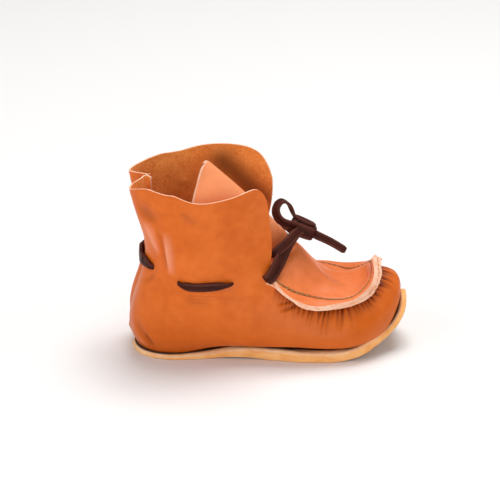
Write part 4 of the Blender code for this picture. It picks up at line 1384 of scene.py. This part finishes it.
# %% The apron's form
TONGUE_FINE = 90
MARGIN_STEPS = np.linspace(0, 1, 19)[:-1]
CROWN_STEPS = np.linspace(0, 1, 27)
STITCH_NEAR = [(0, 0), (14, 0.3), (20, 1.6), (26, 1.7), (31, 0.8), (37, -0.8), (48, -1.5), (72, -1.7)]
STITCH_FAR = [(0, 0), (14, 0.2), (24, -1.1), (31, -2.0), (37, -1.2), (42, -0.4), (47, 0.6), (53, 0.7),
              (58, 0.3), (64, -0.6), (72, -1.7)]
STITCH_LEAST = 1.2
SEWN_RUN = 5
TONGUE_HEM = 0.25
RIM_MORE = 0.8
APRON_MOST = APRON_THICK + RIM_MORE
rim_arc_half = np.interp(half_toe, rim_places, rim_arc)


def apron_half(side):
    """Half of the apron and tongue, from the tongue's point to the toe and from edge to middle line."""
    places = half_toe if side < 0 else ROUND - half_toe
    seam, flange, off_face, reach = rim_frame(places)
    lift = off_face * (UPPER_WALL + APRON_CLEAR + APRON_THICK)
    rim_edge = seam + lift + flange * reach[:, None]
    rim_length = reach + SEAM_INSIDE
    turn = TONGUE_TURN if side > 0 else 0
    free = [(along + turn * wrap, side * out, up) for along, out, up, wrap in TONGUE_EDGE] + [rim_edge[0]]
    tongue_shares = np.linspace(0, 1, TONGUE_FINE)
    toe_shares = (half_toe - throat) / (ROUND / 2 - throat)
    ridge = np.array([(along, 0, up) for along, up in RIDGE], float)
    tongue_edge = along_route(free, tongue_shares)[:-1]
    tongue_spine = along_route(ridge[RIDGE_THROAT:][::-1], tongue_shares)[:-1]
    rim_spine = along_route(ridge[: RIDGE_THROAT + 1][::-1], toe_shares)
    gap = np.linalg.norm(tongue_spine - tongue_edge, axis=1)
    towards = (tongue_spine - tongue_edge) / np.maximum(gap, 1e-6)[:, None]
    towards[0] = (0, -side, 0)
    share = tongue_shares[:-1, None] ** 3
    edge = np.concatenate([tongue_edge, rim_edge])
    spine = np.concatenate([tongue_spine, rim_spine])
    inward = np.concatenate([unit(towards * (1 - share) - flange[0] * share), -flange])
    length = np.concatenate([np.minimum(SEAM_INSIDE, TONGUE_HEM * gap), rim_length])
    root = edge + inward * length[:, None]
    from_toe = np.concatenate([np.full(len(gap), FAN), ROUND / 2 - half_toe])
    fan = (math.pi / 2 * np.clip(1 - from_toe / FAN, 0, 1))[:, None]
    along_ridge = -unit(np.gradient(spine, axis=0))
    arrive = np.cos(fan) * np.array([0.0, -side, 0.0]) + np.sin(fan) * along_ridge
    pull = np.linalg.norm(spine - root, axis=1)[:, None]
    rows = [edge + (root - edge) * step for step in MARGIN_STEPS]
    for step in CROWN_STEPS:
        rows.append(
            (2 * step**3 - 3 * step**2 + 1) * root
            + (step**3 - 2 * step**2 + step) * pull * inward
            + (3 * step**2 - 2 * step**3) * spine
            + (step**3 - step**2) * pull * arrive
        )
    sewn = np.concatenate([np.zeros(len(gap)), rising(half_toe, throat, SEWN_RUN)])
    off_seam = STITCH_NEAR if side < 0 else STITCH_FAR
    stitch_in = np.maximum(reach + eased(off_seam, rim_arc_half), STITCH_LEAST)
    stitch_in = np.concatenate([np.full(len(gap), SEAM_INSIDE), stitch_in])
    return np.stack(rows, axis=1), sewn, stitch_in


apron_near, sewn, stitch_in_near = apron_half(-1)
apron_far, _, stitch_in_far = apron_half(1)
apron = np.concatenate([apron_near, apron_far[-2::-1]])
sewn = np.concatenate([sewn, sewn[-2::-1]])
stitch_in = np.concatenate([stitch_in_near, stitch_in_far[-2::-1]])
apron_normals = unit(np.cross(np.gradient(apron, axis=0), np.gradient(apron, axis=1)))
from_edge = arc_lengths(apron.transpose(1, 0, 2)).T
print("apron grid", apron.shape[:2])

# %% The sewn rim
# Places and runs are millimetres along the seam, widths are millimetres from its line or from the edge
STITCH_PITCH, STITCH_LONG, FIRST_STITCH = 2.75, 1.75, 0.6
SEWN_LEAST = 0.15
PAST_SEAM = 9
STITCH_GROOVE, GROOVE_WIDTH = 0.35, 0.7
HOLE_DEEP, HOLE_WIDTH = 0.35, 0.5
PILLOW_HIGH, PILLOW_WIDTH = 0.18, 1.2
WAVE_HIGH, WAVE_LONG, WAVE_REACH = 0.12, 2.3, 2.5
THICK_FROM, THICK_RUN, THICK_WIDTH = 38, 16, 2.6
HALF_PAST, HALF_RUN = 6, 8
SEWN_SHADE, HOLE_SHADE = 0.4, 0.9


def stitch_line():
    """The seam's line on the apron's face: columns, points, normals and how far along, near throat to far."""
    columns = np.flatnonzero(sewn > SEWN_LEAST)
    line, ups = (
        np.array([between(stitch_in[column], from_edge[column], rows[column]) for column in columns])
        for rows in (apron, apron_normals)
    )
    return columns, line, unit(ups), arc_lengths(line)


seam_columns, seam_line, seam_ups, seam_along = stitch_line()
seam_end = seam_along[-1]
stitch_starts = np.arange(FIRST_STITCH, seam_end - STITCH_LONG, STITCH_PITCH)
hole_places = np.concatenate([stitch_starts, stitch_starts + STITCH_LONG])
along_seam = np.interp(
    np.arange(len(apron)), seam_columns, seam_along, left=-PAST_SEAM, right=seam_end + PAST_SEAM
)
to_hole = np.abs(along_seam[:, None] - hole_places[None, :]).min(axis=1)
off_line = from_edge - stitch_in[:, None]
held = sewn[:, None]
groove = bell(off_line, GROOVE_WIDTH) * held
hole = bell(to_hole[:, None], HOLE_WIDTH) * bell(off_line, HOLE_WIDTH) * held
pillow = PILLOW_HIGH * bell(from_edge - stitch_in[:, None] / 2, PILLOW_WIDTH) * held
edge_wave = WAVE_HIGH * np.sin(along_seam / WAVE_LONG)[:, None] * np.exp(-from_edge / WAVE_REACH) * held
from_ends = np.minimum(along_seam, seam_end - along_seam)
near_half = smooth_step((seam_end / 2 + HALF_PAST - along_seam) / HALF_RUN)
thicker = (RIM_MORE * near_half * rising(from_ends, THICK_FROM, THICK_RUN))[:, None]
thicker = thicker * bell(from_edge, THICK_WIDTH)
lift = pillow + edge_wave + thicker - STITCH_GROOVE * groove - HOLE_DEEP * hole
apron_shape = new_shape("crease", "thick")
# Painted shade in the stitch groove and the stitch holes
apron_crease = np.clip(SEWN_SHADE * groove + HOLE_SHADE * hole, 0, 1)
apron_thick = (APRON_THICK + thicker) / APRON_MOST
lay_sheet(apron_shape, apron + apron_normals * lift[..., None], crease=apron_crease, thick=apron_thick)
apron_piece = make_piece(
    "apron_and_tongue", apron_shape, [APRON_GRAIN, FLESH, CUT_EDGE], "apron_leather", "apron_tongue"
)
thicken(apron_piece, APRON_MOST, 1, 2)

# %% [markdown]
# ## The stitches
# The apron is sewn on by hand with a waxed thread in a running stitch. Each stitch is a short bead that is
# highest in the middle and dips into its two holes. A small sphere, stretched along the seam's line and bent
# with it, makes a closed bead with few faces, which matters for a shape that repeats.

# %% Beads of thread
THREAD_WIDE = 0.66
BEAD_LONG, BEAD_WIDE, BEAD_HIGH = 0.62, 0.6, 0.5
BEAD_DIP, BEAD_DIP_POWER = 0.45, 6
SINGLE_SUNK, DOUBLED_SUNK = 0.08, 0.02
DOUBLED_UP_TO, DOUBLED_LANES, DOUBLED_SKEW = 22.0, (-0.4, 0.4), 0.45
AHEAD = 0.2
stitch_shape = new_shape()
for start in stitch_starts:
    doubled = start < DOUBLED_UP_TO
    for lane in DOUBLED_LANES if doubled else (0.0,):
        bead = bmesh.ops.create_uvsphere(stitch_shape, u_segments=8, v_segments=6, radius=1)["verts"]
        for vert in bead:
            across, tall, along = vert.co
            place = start + STITCH_LONG / 2 + along * STITCH_LONG * BEAD_LONG
            point = between(place, seam_along, seam_line)
            up = unit(between(place, seam_along, seam_ups))
            side = unit(np.cross(up, between(place + AHEAD, seam_along, seam_line) - point + 1e-6))
            sunk = (DOUBLED_SUNK if doubled else SINGLE_SUNK) + BEAD_DIP * along**BEAD_DIP_POWER
            skew = DOUBLED_SKEW * along if doubled else 0.0
            across = across * THREAD_WIDE * BEAD_WIDE + lane + skew
            vert.co = point + side * across + up * (tall * THREAD_WIDE * BEAD_HIGH - sunk)
turn_outwards(stitch_shape)
make_piece("apron_stitches", stitch_shape, [GOLD_THREAD], "apron_leather")

# %% [markdown]
# ## The sole and the insole
# The sole is cut from one thickness of firm leather and curls up past the toe. Its edge is trimmed square below
# and bevelled above, where it stands out round the upper as a pale ledge. Rows of points run from the middle of
# the bottom, round the edge and back to the middle of the top, so one closed sheet makes the whole sole.

# %% Rows of a plate
CURL_LIFT = [(94, 0), (104, 0.7), (113, 1.5), (126, 1.5), (134, 0.5), (140, 0)]
SOLE_ROUND = all_round[::2]
if len(all_round) % 2 == 0:
    SOLE_ROUND = np.concatenate([SOLE_ROUND, all_round[-1:]])
sole_edge = sole_outline(SOLE_ROUND, 0)
edge_along = sole_edge[:, 0]


def drawn_to_spine(flat, share):
    """Flat places drawn from the edge towards the middle line of the sole; share 1 is the edge."""
    spine_along = SPINE_HEEL + (SPINE_TOE - SPINE_HEEL) * (edge_along / FLAT_LENGTH)
    spine = np.stack([spine_along, np.zeros(len(flat))], axis=1)
    return spine + (flat - spine) * share


def lay_plate(shape, rows, finish, shade=0.0):
    """A closed plate from rows round the shoe: flat places and a height above the sole's bottom."""
    curl_lift = eased(CURL_LIFT, edge_along)
    grid = np.stack([sole_point(flat[:, 0], flat[:, 1], up + curl_lift) for flat, up in rows], axis=1)
    size = grid.shape[:2]
    around = np.broadcast_to(SOLE_ROUND[:, None], size)
    through = np.broadcast_to(arc_lengths(grid.transpose(1, 0, 2)).mean(axis=1)[None, :], size)
    lay_sheet(shape, grid, uv=(around, through), finish=finish, crease=np.broadcast_to(shade, size))
    turn_outwards(shape)


print(len(SOLE_ROUND), "columns round the sole")

# %% The sole
SIDE, TOP, UNDER = 0, 1, 2
UNDER_SHARES, TOP_SHARES = (0, 0.25, 0.5, 0.75, 0.92), (0.9, 0.7, 0.35, 0)
# Each row of the edge: how far in, how high, its share of the ledge's rise, and its finish
EDGE_ROWS = ((0.7, 0.0, 0, UNDER), (0.35, 0.05, 0, UNDER), (0.1, 0.2, 0, SIDE), (0, 0.45, 0.1, SIDE),
             (0, 0.9, 0.3, SIDE), (0.05, 1.4, 0.5, SIDE), (0.04, 1.8, 0.7, SIDE), (0.12, 2.05, 0.8, TOP))
# Each row of the bevel: its share of the ledge's width, and how high
BEVEL_ROWS = ((0.1, 2.45), (0.24, 2.9), (0.42, 3.25), (0.68, 3.45), (1, SOLE_THICK))
BEVEL_IN = 0.12
SOLE_RISE = [(0, -1.2), (22, -1.0), (36, 0.0), (48, 1.4), (62, 2.6), (72, 2.6), (86, 1.9), (104, 2.0),
             (113, 1.9), (122, 1.0), (150, 0.2)]
EDGE_WANDER, WANDER_WAVES = 0.12, (21, 47)
CURL_DARK, CURL_DARK_RUN = 112.0, 18.0
WAIST_DARK = [(44, 0), (54, 1), (74, 1), (84, 0.4), (90, 0.1), (96, 0.2), (102, 0.8), (114, 1), (122, 0)]
# How dark the painted shadow under the upper makes the last rows, all round, in the curl and at the waist
GAP_SHADOW_ROWS = (0.25, 0.95, 1, 1, 1, 1)
CURL_ROWS = (0.3, 0.8, 1, 1, 1, 1, 1, 1, 1)
WAIST_ROWS = (0.35, 0.9, 1, 1, 1, 1, 1, 1)
waves = sum(np.sin(SOLE_ROUND * 2 * math.pi * count / ROUND) for count in WANDER_WAVES)
wander = EDGE_WANDER * (1 + waves)
rise = eased(SOLE_RISE, edge_along)
shelf_in = ledge(SOLE_ROUND)
shelf = sole_outline(SOLE_ROUND, shelf_in)
rows = [(drawn_to_spine(sole_edge, share), 0.0, UNDER) for share in UNDER_SHARES]
for inset, up, lifted, finish in EDGE_ROWS:
    rows.append((sole_outline(SOLE_ROUND, wander + inset), up + lifted * rise, finish))
for share, up in BEVEL_ROWS:
    inset = wander * (1 - share) + BEVEL_IN + (shelf_in - BEVEL_IN) * share
    rows.append((sole_outline(SOLE_ROUND, inset), up + rise, TOP))
rows += [(drawn_to_spine(shelf, share), SOLE_THICK, TOP) for share in TOP_SHARES]
all_along = np.ones(len(SOLE_ROUND))
in_curl = rising(edge_along, CURL_DARK, CURL_DARK_RUN)
at_waist = looked_up(WAIST_DARK, edge_along)
gap_shadow = np.zeros((len(SOLE_ROUND), len(rows)))
for strength, last in ((all_along, GAP_SHADOW_ROWS), (in_curl, CURL_ROWS), (at_waist, WAIST_ROWS)):
    gap_shadow[:, -len(last):] = np.maximum(gap_shadow[:, -len(last):], np.outer(strength, last))
sole_shape = new_shape("crease")
lay_plate(sole_shape, [row[:2] for row in rows], np.array([row[2] for row in rows]), gap_shadow)
make_piece("sole", sole_shape, [SOLE_SIDE, SOLE_TOP, SOLE_UNDER], "sole_leather", "outsole")

# %% The insole
INSOLE_EASE, INSOLE_FLAT = 0.35, 0.985
LOW_SHARES, HIGH_SHARES = (0, 0.5, INSOLE_FLAT), (INSOLE_FLAT, 0.8, 0.5, 0.25, 0)
insole_edge = drawn_to_spine(shelf, INSOLE_SHARE)
insole_edge[:, 0] = np.minimum(insole_edge[:, 0], INSOLE_END)
low = SOLE_THICK + INSOLE_CLEAR
high = low + INSOLE_THICK
insole_rows = [(drawn_to_spine(insole_edge, share), low) for share in LOW_SHARES]
insole_rows += [(insole_edge, low + INSOLE_EASE), (insole_edge, high - INSOLE_EASE)]
insole_rows += [(drawn_to_spine(insole_edge, share), high) for share in HIGH_SHARES]
insole_shape = new_shape("crease")
lay_plate(insole_shape, insole_rows, 0)
make_piece("insole_sock", insole_shape, [SOCK], "insole_suede", "insole")
